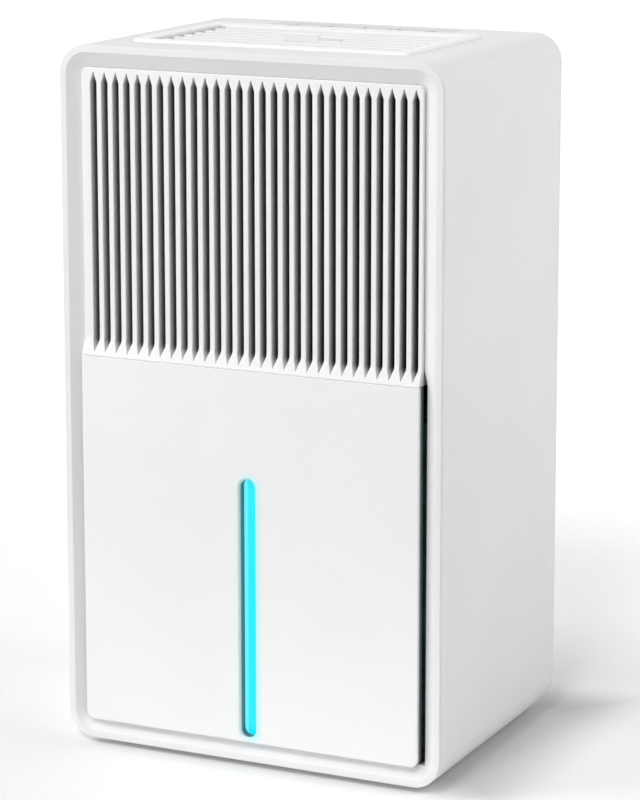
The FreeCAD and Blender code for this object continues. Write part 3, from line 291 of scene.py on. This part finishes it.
def woven(name):
    """Dark nylon filter mesh: holes between crossed threads."""
    finish = Finish(name)
    pitch = 0.0011
    across = (finish.axis("X") / pitch).math("FRACT")
    upward = (finish.axis("Z") / pitch).math("FRACT")
    thread = (across - 0.5).math("ABSOLUTE").math("MAXIMUM", (upward - 0.5).math("ABSOLUTE"))
    finish.set(
        Base_Color=finish.mix(thread.ramp(0.3, 0.4), (0.004, 0.004, 0.005), (0.035, 0.036, 0.04)),
        Roughness=finish.noise(300.0) * 0.1 + 0.55,
        Normal=finish.bump(thread, 0.8, 0.0002),
    )
    return finish.material


def foam(name):
    """Closed-cell foam: small round pores."""
    finish = Finish(name)
    values = {"Vector": finish.place(), "Scale": 1400.0}
    pores = finish.node("ShaderNodeTexVoronoi", None, values)
    finish.set(
        Base_Color=finish.mix(pores, (0.012, 0.012, 0.013), (0.04, 0.04, 0.042)),
        Roughness=pores * 0.2 + 0.7,
        Normal=finish.bump(pores, 0.6, 0.0003),
    )
    return finish.material


def winding(name):
    """Lacquered copper wire wound side by side."""
    finish = Finish(name)
    turns = (finish.axis("Y") * (2 * math.pi / 0.0009)).math("SINE")
    finish.set(
        Base_Color=finish.mix(turns.ramp(-1.0, 1.0), (0.22, 0.07, 0.02), (0.62, 0.25, 0.1)),
        Roughness=finish.noise(200.0) * 0.1 + 0.22,
        Metallic=0.9,
        Normal=finish.bump(turns, 0.8, 0.0002),
    )
    return finish.material


def clear_plastic(name, colour, weight, rough):
    """Clear moulded plastic with faint flow lines."""
    finish = Finish(name)
    flow = finish.noise(30.0, 3.0, (1.0, 1.0, 0.25))
    finish.set(
        Base_Color=finish.mix(flow.ramp(0.3, 0.7), shade(colour, 0.96), colour),
        Roughness=flow * 0.08 + rough,
        Normal=finish.bump(flow, 0.2, 0.0004),
        Transmission_Weight=weight,
        IOR=1.49,
    )
    return finish.material


def lit_bar(name, low_z, high_z):
    """Light bar behind the level window: cyan, paler along its edges and towards its lamp."""
    finish = Finish(name)
    side = finish.axis("X").ramp(-0.0016, -0.0034)
    rise = finish.axis("Z").ramp(low_z, high_z)
    cloud = finish.noise(70.0, 2.0)
    glow = finish.mix(side, (0.0, 0.80, 0.95), (0.20, 0.90, 1.0))
    glow = finish.mix(rise * 0.1, glow, (0.25, 0.93, 1.0))
    finish.set(
        Base_Color=(0.0, 0.22, 0.26),
        Roughness=cloud * 0.1 + 0.2,
        Emission_Color=glow,
        Emission_Strength=0.86,
    )
    return finish.material


# ---------------------------------------------------------------- surfaces


def add_piece(name, verts, faces, material, body, node_names=(), angle=32.0):
    """Put a finished mesh in the scene, riding on a body and standing for CAD nodes."""
    mesh = bpy.data.meshes.new(name)
    mesh.from_pydata(verts.tolist(), [], faces if isinstance(faces, list) else faces.tolist())
    mesh.update()
    mesh.polygons.foreach_set("use_smooth", np.ones(len(mesh.polygons), bool))
    mesh.set_sharp_from_angle(angle=math.radians(angle))
    mesh.materials.append(material)
    piece = bpy.data.objects.new(name, mesh)
    bpy.context.scene.collection.objects.link(piece)
    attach(piece, body)
    if node_names:
        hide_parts(*node_names)
    return piece


def grid_faces(rows, columns, closed=True, first=0):
    """Quads between neighbouring rows of a grid; the columns close on themselves when closed."""
    width = columns if closed else columns - 1
    row, column = np.meshgrid(np.arange(rows - 1), np.arange(width), indexing="ij")
    after = (column + 1) % columns
    near, far = row * columns, (row + 1) * columns
    corners = (near + column, near + after, far + after, far + column)
    return first + np.stack(corners, -1).reshape(-1, 4)


def joined(*parts):
    """One vertex list and one face list from several (vertices, faces) pairs."""
    verts, faces, start = [], [], 0
    for points, quads in parts:
        verts.append(points)
        faces.append(quads + start)
        start += len(points)
    return np.concatenate(verts), np.concatenate(faces)


def soft_line(corners, radii, steps=4):
    """Open line through corners, each inner corner replaced by a curve of its radius.

    A curve is the quadratic between the points at one radius before and after the corner, and a
    support point half a radius outside each end keeps the flat stretches flat when shaded.
    """
    corners = np.asarray(corners, float)
    line = [corners[:1]]
    for index in range(1, len(corners) - 1):
        here, radius = corners[index], radii[index - 1]
        back = (corners[index - 1] - here) / np.linalg.norm(corners[index - 1] - here)
        ahead = (corners[index + 1] - here) / np.linalg.norm(corners[index + 1] - here)
        share = np.linspace(0.0, 1.0, steps + 1)[:, None]
        start, end = here + back * radius, here + ahead * radius
        curve = (1 - share) ** 2 * start + 2 * share * (1 - share) * here + share ** 2 * end
        before, after = here[None] + back * radius * 1.5, here[None] + ahead * radius * 1.5
        line.append(np.concatenate([before, curve, after]))
    line.append(corners[-1:])
    return np.concatenate(line)


def round_outline(low, high, radii, steps=8):
    """Rounded rectangle, anticlockwise from its lower left corner, as rows of (x, z, turn centre x and z).

    radii are those of the lower left, lower right, upper right and upper left corners.
    """
    low, high = np.asarray(low, float), np.asarray(high, float)
    pieces = []
    for index, radius in enumerate(radii):
        right, upper = index in (1, 2), index in (2, 3)
        centre = np.array([
            high[0] - radius if right else low[0] + radius,
            high[1] - radius if upper else low[1] + radius,
        ])
        angle = math.pi + math.pi / 2 * (index + np.linspace(0.0, 1.0, steps + 1))
        direction = np.stack([np.cos(angle), np.sin(angle)], -1)
        pieces.append(np.concatenate([centre + radius * direction, direction], -1))
    return np.concatenate(pieces)


def swept(outline, profile, to_place):
    """Surface of an outline moved inwards and back along a profile.

    outline rows are x, z and the outward direction there; profile rows are the distance
    inwards and the depth; to_place turns arrays of x, depth and z into points.
    """
    inward, depth = profile[:, 0][:, None], profile[:, 1][:, None]
    x = outline[None, :, 0] - inward * outline[None, :, 2]
    z = outline[None, :, 1] - inward * outline[None, :, 3]
    points = to_place(x, np.broadcast_to(depth, x.shape), z)
    return points.reshape(-1, 3), grid_faces(len(profile), len(outline))


# ---------------------------------------------------------------- intake grille

FRAME_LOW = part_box("front_frame")[0]
RIM_Y = FRAME_LOW.y
SHELL_LOW, SHELL_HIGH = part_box("tank_front")
SLEEVE_LOW, SLEEVE_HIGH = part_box("housing_sleeve")

GRILLE_HALF = 102.5 * MM
GRILLE_TOP = SLEEVE_HIGH.z - 12.5 * MM
SPLIT_Z = SLEEVE_LOW.z + 223.4 * MM
SHOULDER_Z = SPLIT_Z + 9.0 * MM
GRILLE_Y = RIM_Y + 2.4 * MM
PLATE_BACK = RIM_Y + 9.0 * MM
SLOTS, PITCH, SLOT_HALF, SHIFT, POINT = 29, 6.9 * MM, 1.95 * MM, 1.5 * MM, 5.8 * MM
SLOT_LOW, SLOT_HIGH = SPLIT_Z + 2.1 * MM, GRILLE_TOP - 2.5 * MM
LIP = 0.35 * MM
CREASE = 1.1 * MM


def panel_y(z):
    """Front of the grille at a height: flat above, sloping forward below a softened crease."""
    slope = (GRILLE_Y - SHELL_LOW.y) / (SHOULDER_Z - SPLIT_Z)
    fall = SHOULDER_Z - np.asarray(z)
    bend = 0.5 * (fall + np.sqrt(fall ** 2 + CREASE ** 2))
    return GRILLE_Y - slope * bend


BLOCK_LOW, BLOCK_HIGH = SLOT_LOW - 1.2 * MM, SLOT_HIGH + 1.2 * MM
TIP = 0.16 * MM
LIP_CURVE = ((1.6, 0.0), (1.0, 0.0), (0.62, 0.1), (0.3, 0.3), (0.08, 0.62), (0.0, 1.0), (0.0, 1.8))
EDGE_CURVE = ((0.9, 0.0), (0.7, 0.0), (0.42, 0.08), (0.2, 0.22), (0.06, 0.45), (0.0, 0.75), (0.0, 1.0))
HEIGHTS = np.concatenate([
    [SLOT_LOW + 0.35 * POINT, SLOT_LOW + POINT],
    SHOULDER_Z + CREASE * np.array([-0.9, -0.45, 0.0, 0.45, 0.9, 1.8, 3.5]),
    [SHOULDER_Z + 60.0 * MM, SLOT_HIGH - POINT, SLOT_HIGH - 0.35 * POINT],
])


def slot_cell(centre):
    """One pitch of the grille, closed round its slot: border, softened lip, then the slot's wall.

    The slot is |x - centre| <= half * min(1, (z - low) / point, (high - z) / point), blunt at both tips.
    """
    from_end = np.minimum(HEIGHTS - SLOT_LOW, SLOT_HIGH - HEIGHTS)
    width = np.maximum(SLOT_HALF * np.clip(from_end / POINT, 0, 1), TIP)
    tips = np.array([-1.0, 0.0, 1.0])
    right = np.stack([centre + width, HEIGHTS], -1)
    left = np.stack([centre - width, HEIGHTS], -1)[::-1]
    bottom = np.stack([centre + TIP * tips, np.full(3, SLOT_LOW)], -1)
    top = np.stack([centre - TIP * tips, np.full(3, SLOT_HIGH)], -1)
    edge = np.concatenate([bottom, right, top, left])
    side = np.full(len(HEIGHTS), PITCH / 2)
    border_x = np.concatenate([tips * PITCH / 2, side, -tips * PITCH / 2, -side]) + centre
    border_z = np.concatenate([np.full(3, BLOCK_LOW), HEIGHTS, np.full(3, BLOCK_HIGH), HEIGHTS[::-1]])
    border = np.stack([border_x, border_z], -1)
    away = border - edge
    away /= np.linalg.norm(away, axis=1)[:, None]
    rows = [np.stack([border_x, panel_y(border_z), border_z], -1)]
    for out, back in LIP_CURVE:
        spot = edge + away * LIP * out
        rows.append(np.stack([spot[:, 0], panel_y(spot[:, 1]) + LIP * back, spot[:, 1]], -1))
    rows.append(np.stack([edge[:, 0], np.full(len(edge), PLATE_BACK), edge[:, 1]], -1))
    return np.stack(rows).reshape(-1, 3), grid_faces(len(rows), len(edge))


def grille_border():
    """Margin round the slots out to the panel's rounded edge, then its side back to the plate's rear."""
    across = SHIFT + (np.arange(2 * SLOTS + 1) - SLOTS) * PITCH / 2
    first, last = across[0], across[-1]
    corner, foot = 3.2 * MM, 0.5 * MM
    turn = np.linspace(0.0, math.pi / 2, 7)
    inner, outer, outward = [], [], []

    def run(inside, outside, direction):
        inner.append(inside)
        outer.append(outside)
        outward.append(np.broadcast_to(direction, outside.shape))

    def bend(inside, centre, radius, start):
        direction = np.stack([np.cos(start + turn), np.sin(start + turn)], -1)
        run(np.broadcast_to(inside, direction.shape), np.asarray(centre) + radius * direction, direction)

    half, top, low = GRILLE_HALF, GRILLE_TOP, SPLIT_Z - 0.2 * MM
    level = np.full(len(across), 1.0)
    low_x = np.clip(across, -(half - foot), half - foot)
    top_x = np.clip(across, -(half - corner), half - corner)
    run(np.stack([across, level * BLOCK_LOW], -1), np.stack([low_x, level * low], -1), (0.0, -1.0))
    bend((last, BLOCK_LOW), (half - foot, low + foot), foot, -math.pi / 2)
    upright = np.full(len(HEIGHTS), 1.0)
    run(np.stack([upright * last, HEIGHTS], -1), np.stack([upright * half, HEIGHTS], -1), (1.0, 0.0))
    bend((last, BLOCK_HIGH), (half - corner, top - corner), corner, 0.0)
    upper = np.stack([top_x, level * top], -1)[::-1]
    run(np.stack([across, level * BLOCK_HIGH], -1)[::-1], upper, (0.0, 1.0))
    bend((first, BLOCK_HIGH), (corner - half, top - corner), corner, math.pi / 2)
    left = np.stack([-upright * half, HEIGHTS], -1)[::-1]
    run(np.stack([upright * first, HEIGHTS], -1)[::-1], left, (-1.0, 0.0))
    bend((first, BLOCK_LOW), (foot - half, low + foot), foot, math.pi)
    inside, outside, direction = (np.concatenate(part) for part in (inner, outer, outward))
    soft = 0.7 * MM
    rows = [np.stack([inside[:, 0], panel_y(inside[:, 1]), inside[:, 1]], -1)]
    for inset, back in EDGE_CURVE:
        spot = outside - direction * soft * inset
        rows.append(np.stack([spot[:, 0], panel_y(spot[:, 1]) + soft * back, spot[:, 1]], -1))
    rows.append(np.stack([outside[:, 0], np.full(len(outside), PLATE_BACK), outside[:, 1]], -1))
    return np.stack(rows).reshape(-1, 3), grid_faces(len(rows), len(outside))[:, ::-1]


def merged(piece, distance=0.02 * MM):
    """Join vertices that meet, so the seams between joined surfaces close."""
    work = bmesh.new()
    work.from_mesh(piece.data)
    bmesh.ops.remove_doubles(work, verts=work.verts, dist=distance)
    bmesh.ops.dissolve_degenerate(work, edges=work.edges, dist=distance * 0.5)
    work.to_mesh(piece.data)
    work.free()
    piece.data.set_sharp_from_angle(angle=math.radians(32.0))
    return piece


def slotted_panel(material):
    """Intake panel: twenty-nine slot cells and the border round them."""
    cells = [slot_cell(SHIFT + (index - (SLOTS - 1) / 2) * PITCH) for index in range(SLOTS)]
    verts, faces = joined(*cells, grille_border())
    panel = add_piece(
        "slotted_panel", verts, faces, material, "case", ["intake_grille"],
    )
    return merged(panel)


# ---------------------------------------------------------------- top outlet

OUTLET_LOW, OUTLET_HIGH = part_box("outlet_frame")
MOUTH_HALF, MOUTH_Y, MOUTH_BACK = 75.5 * MM, RIM_Y + 29.0 * MM, RIM_Y + 116.5 * MM
BEZEL_BACK = RIM_Y + 128.0 * MM
TOP_Z = SLEEVE_HIGH.z
TILT = math.radians(8.0)
PIVOT_Z = TOP_Z - 1.4 * MM
BLADE_HALF, CHORD = 71.0 * MM, 12.0 * MM
LOUVRE_PITCH = 12.5 * MM
PIN_END, PIN_RADIUS, PIN_LAP = 78.0 * MM, 1.5 * MM, 0.5 * MM
TABBED = 3
NOTCH_CUTS = {4: (0.0, 3.75 * MM), 5: (6.0 * MM, 0.0)}
TAB_LOW, TAB_HIGH, TAB_FRONT = (-9.75 * MM, 0.2 * MM), (12.75 * MM, 5.7 * MM), 3.7 * MM
TAB_CORNERS = [0.6 * MM, 0.6 * MM, 1.9 * MM, 1.9 * MM]
CROWN = (
    (0.0, -0.4), (0.0, 0.3), (0.15, 0.6), (0.4, 0.95), (1.1, 1.65), (1.45, 1.88), (1.8, 1.97), (2.3, 2.0),
)
MOUTH_CURVE = ((1.3, 1.9), (0.8, 1.82), (0.4, 1.6), (0.12, 1.25), (0.0, 0.8), (0.0, -16.0))


def outlet_ring(material):
    """Raised bezel: rows from the outer outline in to the mouth's, with heights along a crowned profile."""
    outer = round_outline((-OUTLET_HIGH.x, OUTLET_LOW.y), (OUTLET_HIGH.x, BEZEL_BACK), [4.0 * MM] * 4)
    inner = round_outline((-MOUTH_HALF, MOUTH_Y), (MOUTH_HALF, MOUTH_BACK), [1.6 * MM] * 4)
    rows = []
    for outline, curve, way in ((outer, CROWN, -1), (inner, MOUTH_CURVE, 1)):
        for shift, rise in curve:
            spot = outline[:, :2] + way * outline[:, 2:] * shift * MM
            height = np.full((len(outline), 1), TOP_Z + rise * MM)
            rows.append(np.concatenate([spot, height], -1))
    points = np.stack(rows)
    return add_piece(
        "outlet_bezel", points.reshape(-1, 3), grid_faces(len(points), len(outer)), material,
        "case", ["outlet_frame"], 40.0,
    )


def step(x, low, high, soft):
    """1 between low and high, 0 outside, with rounded changes of width soft."""
    rise = np.clip((x - low) / soft + 0.5, 0, 1)
    fall = np.clip((high - x) / soft + 0.5, 0, 1)
    rise, fall = rise * rise * (3 - 2 * rise), fall * fall * (3 - 2 * fall)
    return rise * fall


def blade_surface(cut_front, cut_back):
    """Louvre blade: a closed section with a rounded nose and a ridge, carried along X, ends closed.

    Across the finger notch the section is squeezed from its front or its rear edge.
    """
    section = soft_line(
        [
            (0.0, -0.7), (-6.0, -0.7), (-6.0, 0.2), (-4.8, 0.7), (2.9, 0.4),
            (4.3, 1.45), (6.0, 1.35), (6.0, -0.7), (0.0, -0.7),
        ],
        [0.4, 0.25, 0.5, 0.5, 0.45, 0.4, 0.4],
    )[:-1] * MM
    ends = np.array([0.0, 0.12, 0.35, 0.7])
    x = np.concatenate([
        -BLADE_HALF + ends * MM, np.linspace(-66, -10, 8) * MM, np.linspace(-9.2, -6.8, 13) * MM,
        np.linspace(-4, 18, 6) * MM, np.linspace(19.8, 22.2, 13) * MM, np.linspace(24, 66, 8) * MM,
        BLADE_HALF - ends[::-1] * MM,
    ])
    shrink = np.concatenate([[0.45, 0.75, 0.93, 1.0], np.ones(len(x) - 8), [1.0, 0.93, 0.75, 0.45]])
    notch = step(x, -8.0 * MM, 21.0 * MM, 1.2 * MM)
    front = -CHORD / 2 + notch * cut_front
    back = CHORD / 2 - notch * cut_back
    along = front[:, None] + (section[None, :, 0] + CHORD / 2) / CHORD * (back - front)[:, None]
    points = np.stack([
        np.broadcast_to(x[:, None], along.shape),
        along * (1 - (1 - shrink[:, None]) * 0.05),
        section[None, :, 1] * shrink[:, None],
    ], -1)
    faces = grid_faces(len(x), len(section)).tolist()
    faces.append(list(range(len(section)))[::-1])
    faces.append(list(range((len(x) - 1) * len(section), len(x) * len(section))))
    return points.reshape(-1, 3), faces


def rod_surface(start, end, radius, sides=20):
    """Pin along X: circles of a radius that rounds off at the far end, with closed ends."""
    angle = np.linspace(0, 2 * math.pi, sides, endpoint=False)
    share = np.array([0.0, 0.9, 0.96, 1.0])
    size = radius * np.array([1.0, 1.0, 0.9, 0.6])
    x = start + (end - start) * share
    points = np.stack([
        np.broadcast_to(x[:, None], (4, sides)),
        size[:, None] * np.cos(angle),
        size[:, None] * np.sin(angle),
    ], -1)
    faces = grid_faces(4, sides)
    faces = (faces if end > start else faces[:, ::-1]).tolist()
    first, last = list(range(sides)), list(range(3 * sides, 4 * sides))
    faces += [first[::-1], last] if end > start else [first, last[::-1]]
    return points.reshape(-1, 3), faces


def tab_surface():
    """Thumb tab: a rounded rectangle in X and Z, its edge softened front and rear."""
    outline = round_outline(TAB_LOW, TAB_HIGH, TAB_CORNERS)
    profile = np.array([
        (0.9, 0.0), (0.55, 0.02), (0.28, 0.12), (0.1, 0.32), (0.0, 0.6),
        (0.0, 1.4), (0.1, 1.68), (0.28, 1.88), (0.55, 1.98), (0.9, 2.0),
    ]) * MM
    points, quads = swept(outline, profile, lambda x, depth, z: np.stack([x, TAB_FRONT + depth, z], -1))
    count = len(outline)
    faces = quads.tolist()
    faces.append(list(range(count)))
    faces.append(list(range(len(points) - count, len(points)))[::-1])
    return points, faces


def louvre_blade(number, material):
    """One louvre with its pins, tilted about its pivot line."""
    parts = [
        blade_surface(*NOTCH_CUTS.get(number, (0.0, 0.0))),
        rod_surface(-BLADE_HALF + PIN_LAP, -PIN_END, PIN_RADIUS),
        rod_surface(BLADE_HALF - PIN_LAP, PIN_END, PIN_RADIUS),
    ]
    if number == TABBED:
        parts.append(tab_surface())
    verts, faces, start = [], [], 0
    for points, polygons in parts:
        verts.append(points)
        faces += [[start + index for index in polygon] for polygon in polygons]
        start += len(points)
    flat = np.concatenate(verts)
    middle = MOUTH_Y + LOUVRE_PITCH * (number - 0.5)
    placed = np.stack([
        flat[:, 0],
        middle + flat[:, 1] * math.cos(TILT) - flat[:, 2] * math.sin(TILT),
        PIVOT_Z + flat[:, 1] * math.sin(TILT) + flat[:, 2] * math.cos(TILT),
    ], -1)
    return add_piece(
        f"louvre_blade_{number}", placed, faces, material,
        f"louvre_{number}_body", [f"louvre_{number}"], 38.0,
    )


# ---------------------------------------------------------------- materials of the record's slots

LOUVRES = sorted(node for node in NODES if node.startswith("louvre_") and node != "louvre_link")
KEYS = sorted(node for node in NODES if node.startswith("key_") and node != "key_switches")
WHITE = (0.86, 0.86, 0.865)
WINDOW_LOW, WINDOW_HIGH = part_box("light_bar")
FINISHES = {
    "case_white": moulded("case_white", WHITE, 0.42),
    "grille_white": slotted(
        "grille_white", (0.91, 0.91, 0.915), GRILLE_Y + 0.5 * MM, GRILLE_Y + 6.0 * MM,
    ),
    "tank_shell_white": lit_shell(
        "tank_shell_white", (0.91, 0.91, 0.915), SHELL_LOW.y,
        SHELL_LOW.z + 7.4 * MM, SHELL_LOW.z + 145.7 * MM, 5.6 * MM,
    ),
    "outlet_white": ridged(
        "outlet_white", (0.78, 0.78, 0.785), PIVOT_Z - 0.9 * MM, PIVOT_Z + 0.7 * MM, PIVOT_Z + 2.1 * MM,
    ),
    "key_white": moulded("key_white", (0.74, 0.74, 0.75), 0.34),
    "strip_grey": moulded("strip_grey", (0.66, 0.66, 0.67), 0.34),
    "duct_black": moulded("duct_black", (0.016, 0.016, 0.017), 0.48),
    "rail_grey": moulded("rail_grey", (0.24, 0.24, 0.25), 0.45),
    "foot_rubber": rubber("foot_rubber", (0.03, 0.03, 0.032)),
    "filter_cloth": woven("filter_cloth"),
    "foam": foam("foam"),
    "sink_metal": metal("sink_metal", (0.78, 0.79, 0.80), 0.34, (1.0, 1.0, 0.03)),
    "ceramic": moulded("ceramic", (0.80, 0.79, 0.76), 0.55),
    "screw_steel": metal("screw_steel", (0.56, 0.56, 0.57), 0.28, (1.0, 1.0, 1.0)),
    "board_green": board("board_green"),
    "part_black": moulded("part_black", (0.02, 0.02, 0.021), 0.36),
    "coil_copper": winding("coil_copper"),
    "post_white": moulded("post_white", (0.78, 0.78, 0.78), 0.5),
    "tank_clear": clear_plastic("tank_clear", (0.93, 0.95, 0.96), 0.85, 0.06),
    "light_cyan": lit_bar("light_cyan", WINDOW_LOW.z, WINDOW_HIGH.z),
}
NODES_OF = {
    "case_white": ["housing_sleeve", "front_frame", "rear_cover"],
    "grille_white": ["intake_grille"],
    "tank_shell_white": ["tank_front"],
    "outlet_white": ["outlet_frame", *LOUVRES],
    "key_white": KEYS,
    "strip_grey": ["control_panel"],
    "duct_black": [
        "deck", "bay_wall", "fan_shroud", "fan_frame", "fan_rotor", "louvre_link", "filter_frame",
        "drip_tray", "fan_motor",
    ],
    "rail_grey": ["tank_rails"],
    "foot_rubber": ["feet"],
    "filter_cloth": ["filter_mesh"],
    "foam": ["foam_gasket"],
    "sink_metal": ["cold_sink", "hot_sink", "board_heat_sink"],
    "ceramic": ["cooling_modules"],
    "screw_steel": ["rear_screws", "sink_screws", "fan_screws", "float_magnet"],
    "board_green": ["control_board", "main_board", "light_board"],
    "part_black": ["key_switches", "capacitors", "dc_inlet", "level_sensor"],
    "coil_copper": ["power_coil"],
    "post_white": ["panel_posts", "board_posts", "tank_float"],
    "tank_clear": ["water_tank", "tank_lid"],
    "light_cyan": ["light_bar"],
}
SLOT_OF = {node: slot for slot, members in NODES_OF.items() for node in members}
for name, node in NODES.items():
    finish = FINISHES[SLOT_OF[name]]
    if node.material_slots:
        for held in node.material_slots:
            held.material = finish
    else:
        node.data.materials.append(finish)


slotted_panel(FINISHES["grille_white"])
outlet_ring(FINISHES["outlet_white"])
for number in range(1, len(LOUVRES) + 1):
    louvre_blade(number, FINISHES["outlet_white"])


# ---------------------------------------------------------------- floor, light and camera

CENTRE = Vector((0.0, 0.0, 0.5 * (SLEEVE_LOW.z + SLEEVE_HIGH.z)))


def backdrop():
    """Floor that curves up behind the object: z = r - sqrt(r^2 - d^2) past its flat part, then upright.

    It is painted darker before the object and paler behind it, and a painted contact shadow darkens its
    tone close round the feet.
    """
    radius, reach, wide = 3.0, 5.0, 9.0
    angle = np.linspace(0.0, math.pi / 2, 25)
    run = np.concatenate([[-reach], reach + radius * np.sin(angle), [reach + radius]])
    rise = np.concatenate([[0.0], radius * (1 - np.cos(angle)), [radius + 4.0]])
    across = np.linspace(-wide, wide, 3)
    spread, along = np.meshgrid(across, run)
    height = np.broadcast_to(rise[:, None], spread.shape)
    points = np.stack([spread, along, height], -1).reshape(-1, 3)
    mesh = bpy.data.meshes.new("backdrop")
    mesh.from_pydata(points.tolist(), [], grid_faces(len(run), len(across), closed=False).tolist())
    mesh.update()
    mesh.polygons.foreach_set("use_smooth", np.ones(len(mesh.polygons), bool))
    finish = Finish("backdrop_paper")
    fibre = finish.noise(400.0, 3.0)
    y = finish.axis("Y")
    paper = finish.mix(fibre, grey(0.93), grey(0.95))
    # Painted light: the floor is darker before the object, and its glow grows paler behind it.
    paper = finish.mix(y.ramp(-0.5, -0.14), grey(0.50), paper)
    glow = finish.mix(y.ramp(-0.3, 1.6), grey(0.06), grey(0.84))
    glow = finish.mix(y.ramp(-1.2, -3.0), glow, grey(0.50))
    # Painted contact shadow: colour and glow sink to grey in a soft box round the feet, shifted to the
    # right.
    beside = (finish.axis("X") - 0.028).math("ABSOLUTE") - 0.09
    behind = (y - 0.018).math("ABSOLUTE") - 0.068
    near = beside.math("MAXIMUM", behind).ramp(0.055, 0.0)
    finish.set(
        Base_Color=finish.mix(near, paper, grey(0.60)),
        Roughness=fibre * 0.05 + 0.9,
        Emission_Color=finish.mix(near, glow, grey(0.05)),
        Emission_Strength=1.0,
    )
    mesh.materials.append(finish.material)
    floor = bpy.data.objects.new("backdrop", mesh)
    bpy.context.scene.collection.objects.link(floor)


def soft_box(name, place, size, power, aim=CENTRE):
    """Rectangular soft light aimed at a point."""
    lamp = bpy.data.lights.new(name, "AREA")
    lamp.shape = "RECTANGLE"
    lamp.size, lamp.size_y = size
    lamp.energy = power
    holder = bpy.data.objects.new(name, lamp)
    bpy.context.scene.collection.objects.link(holder)
    holder.location = place
    holder.rotation_euler = (Vector(aim) - Vector(place)).to_track_quat("-Z", "Y").to_euler()
    return holder


def room_light(strength):
    """Even white light from the studio's walls."""
    world = bpy.data.worlds.new("studio")
    world.use_nodes = True
    world.node_tree.nodes["Background"].inputs[0].default_value = (1.0, 1.0, 1.0, 1.0)
    world.node_tree.nodes["Background"].inputs[1].default_value = strength
    bpy.context.scene.world = world


def camera():
    """Camera to the right of the front and slightly above, upright, aimed by its shift."""
    lens = bpy.data.cameras.new("camera")
    holder = bpy.data.objects.new("camera", lens)
    bpy.context.scene.collection.objects.link(holder)
    azimuth, elevation, roll = (math.radians(angle) for angle in (25.124, 11.202, 0.047))
    distance = 1.663
    aim = Vector((0.0551, FRAME_LOW.y, SLEEVE_LOW.z + 0.2545))
    level = math.cos(elevation)
    away = Vector((math.sin(azimuth) * level, -math.cos(azimuth) * level, math.sin(elevation)))
    holder.location = aim + away * distance
    turn = (-away).to_track_quat("-Z", "Y").to_euler()
    holder.rotation_euler = turn
    holder.rotation_euler.rotate_axis("Z", roll)
    lens.lens = 140.09
    lens.sensor_width = 36.0
    lens.shift_x, lens.shift_y = -0.0243, -0.0970
    lens.clip_end = 50.0
    lens.dof.use_dof = False
    bpy.context.scene.camera = holder


backdrop()
room_light(0.02)
soft_box("key_low", (-1.8, -2.2, 0.5), (1.4, 1.4), 20.0)
soft_box("key_left", (-2.2, -1.2, 2.2), (1.2, 1.2), 38.0)
soft_box("key_front", (0.2, -2.4, 2.6), (1.2, 1.2), 52.0)
soft_box("side_light", (1.3, 0.2, 1.15), (0.9, 0.9), 8.6)
soft_box("top_light", (0.0, 0.1, 2.4), (1.8, 1.8), 0.8)
camera()
bpy.context.scene.view_settings.view_transform = "Standard"
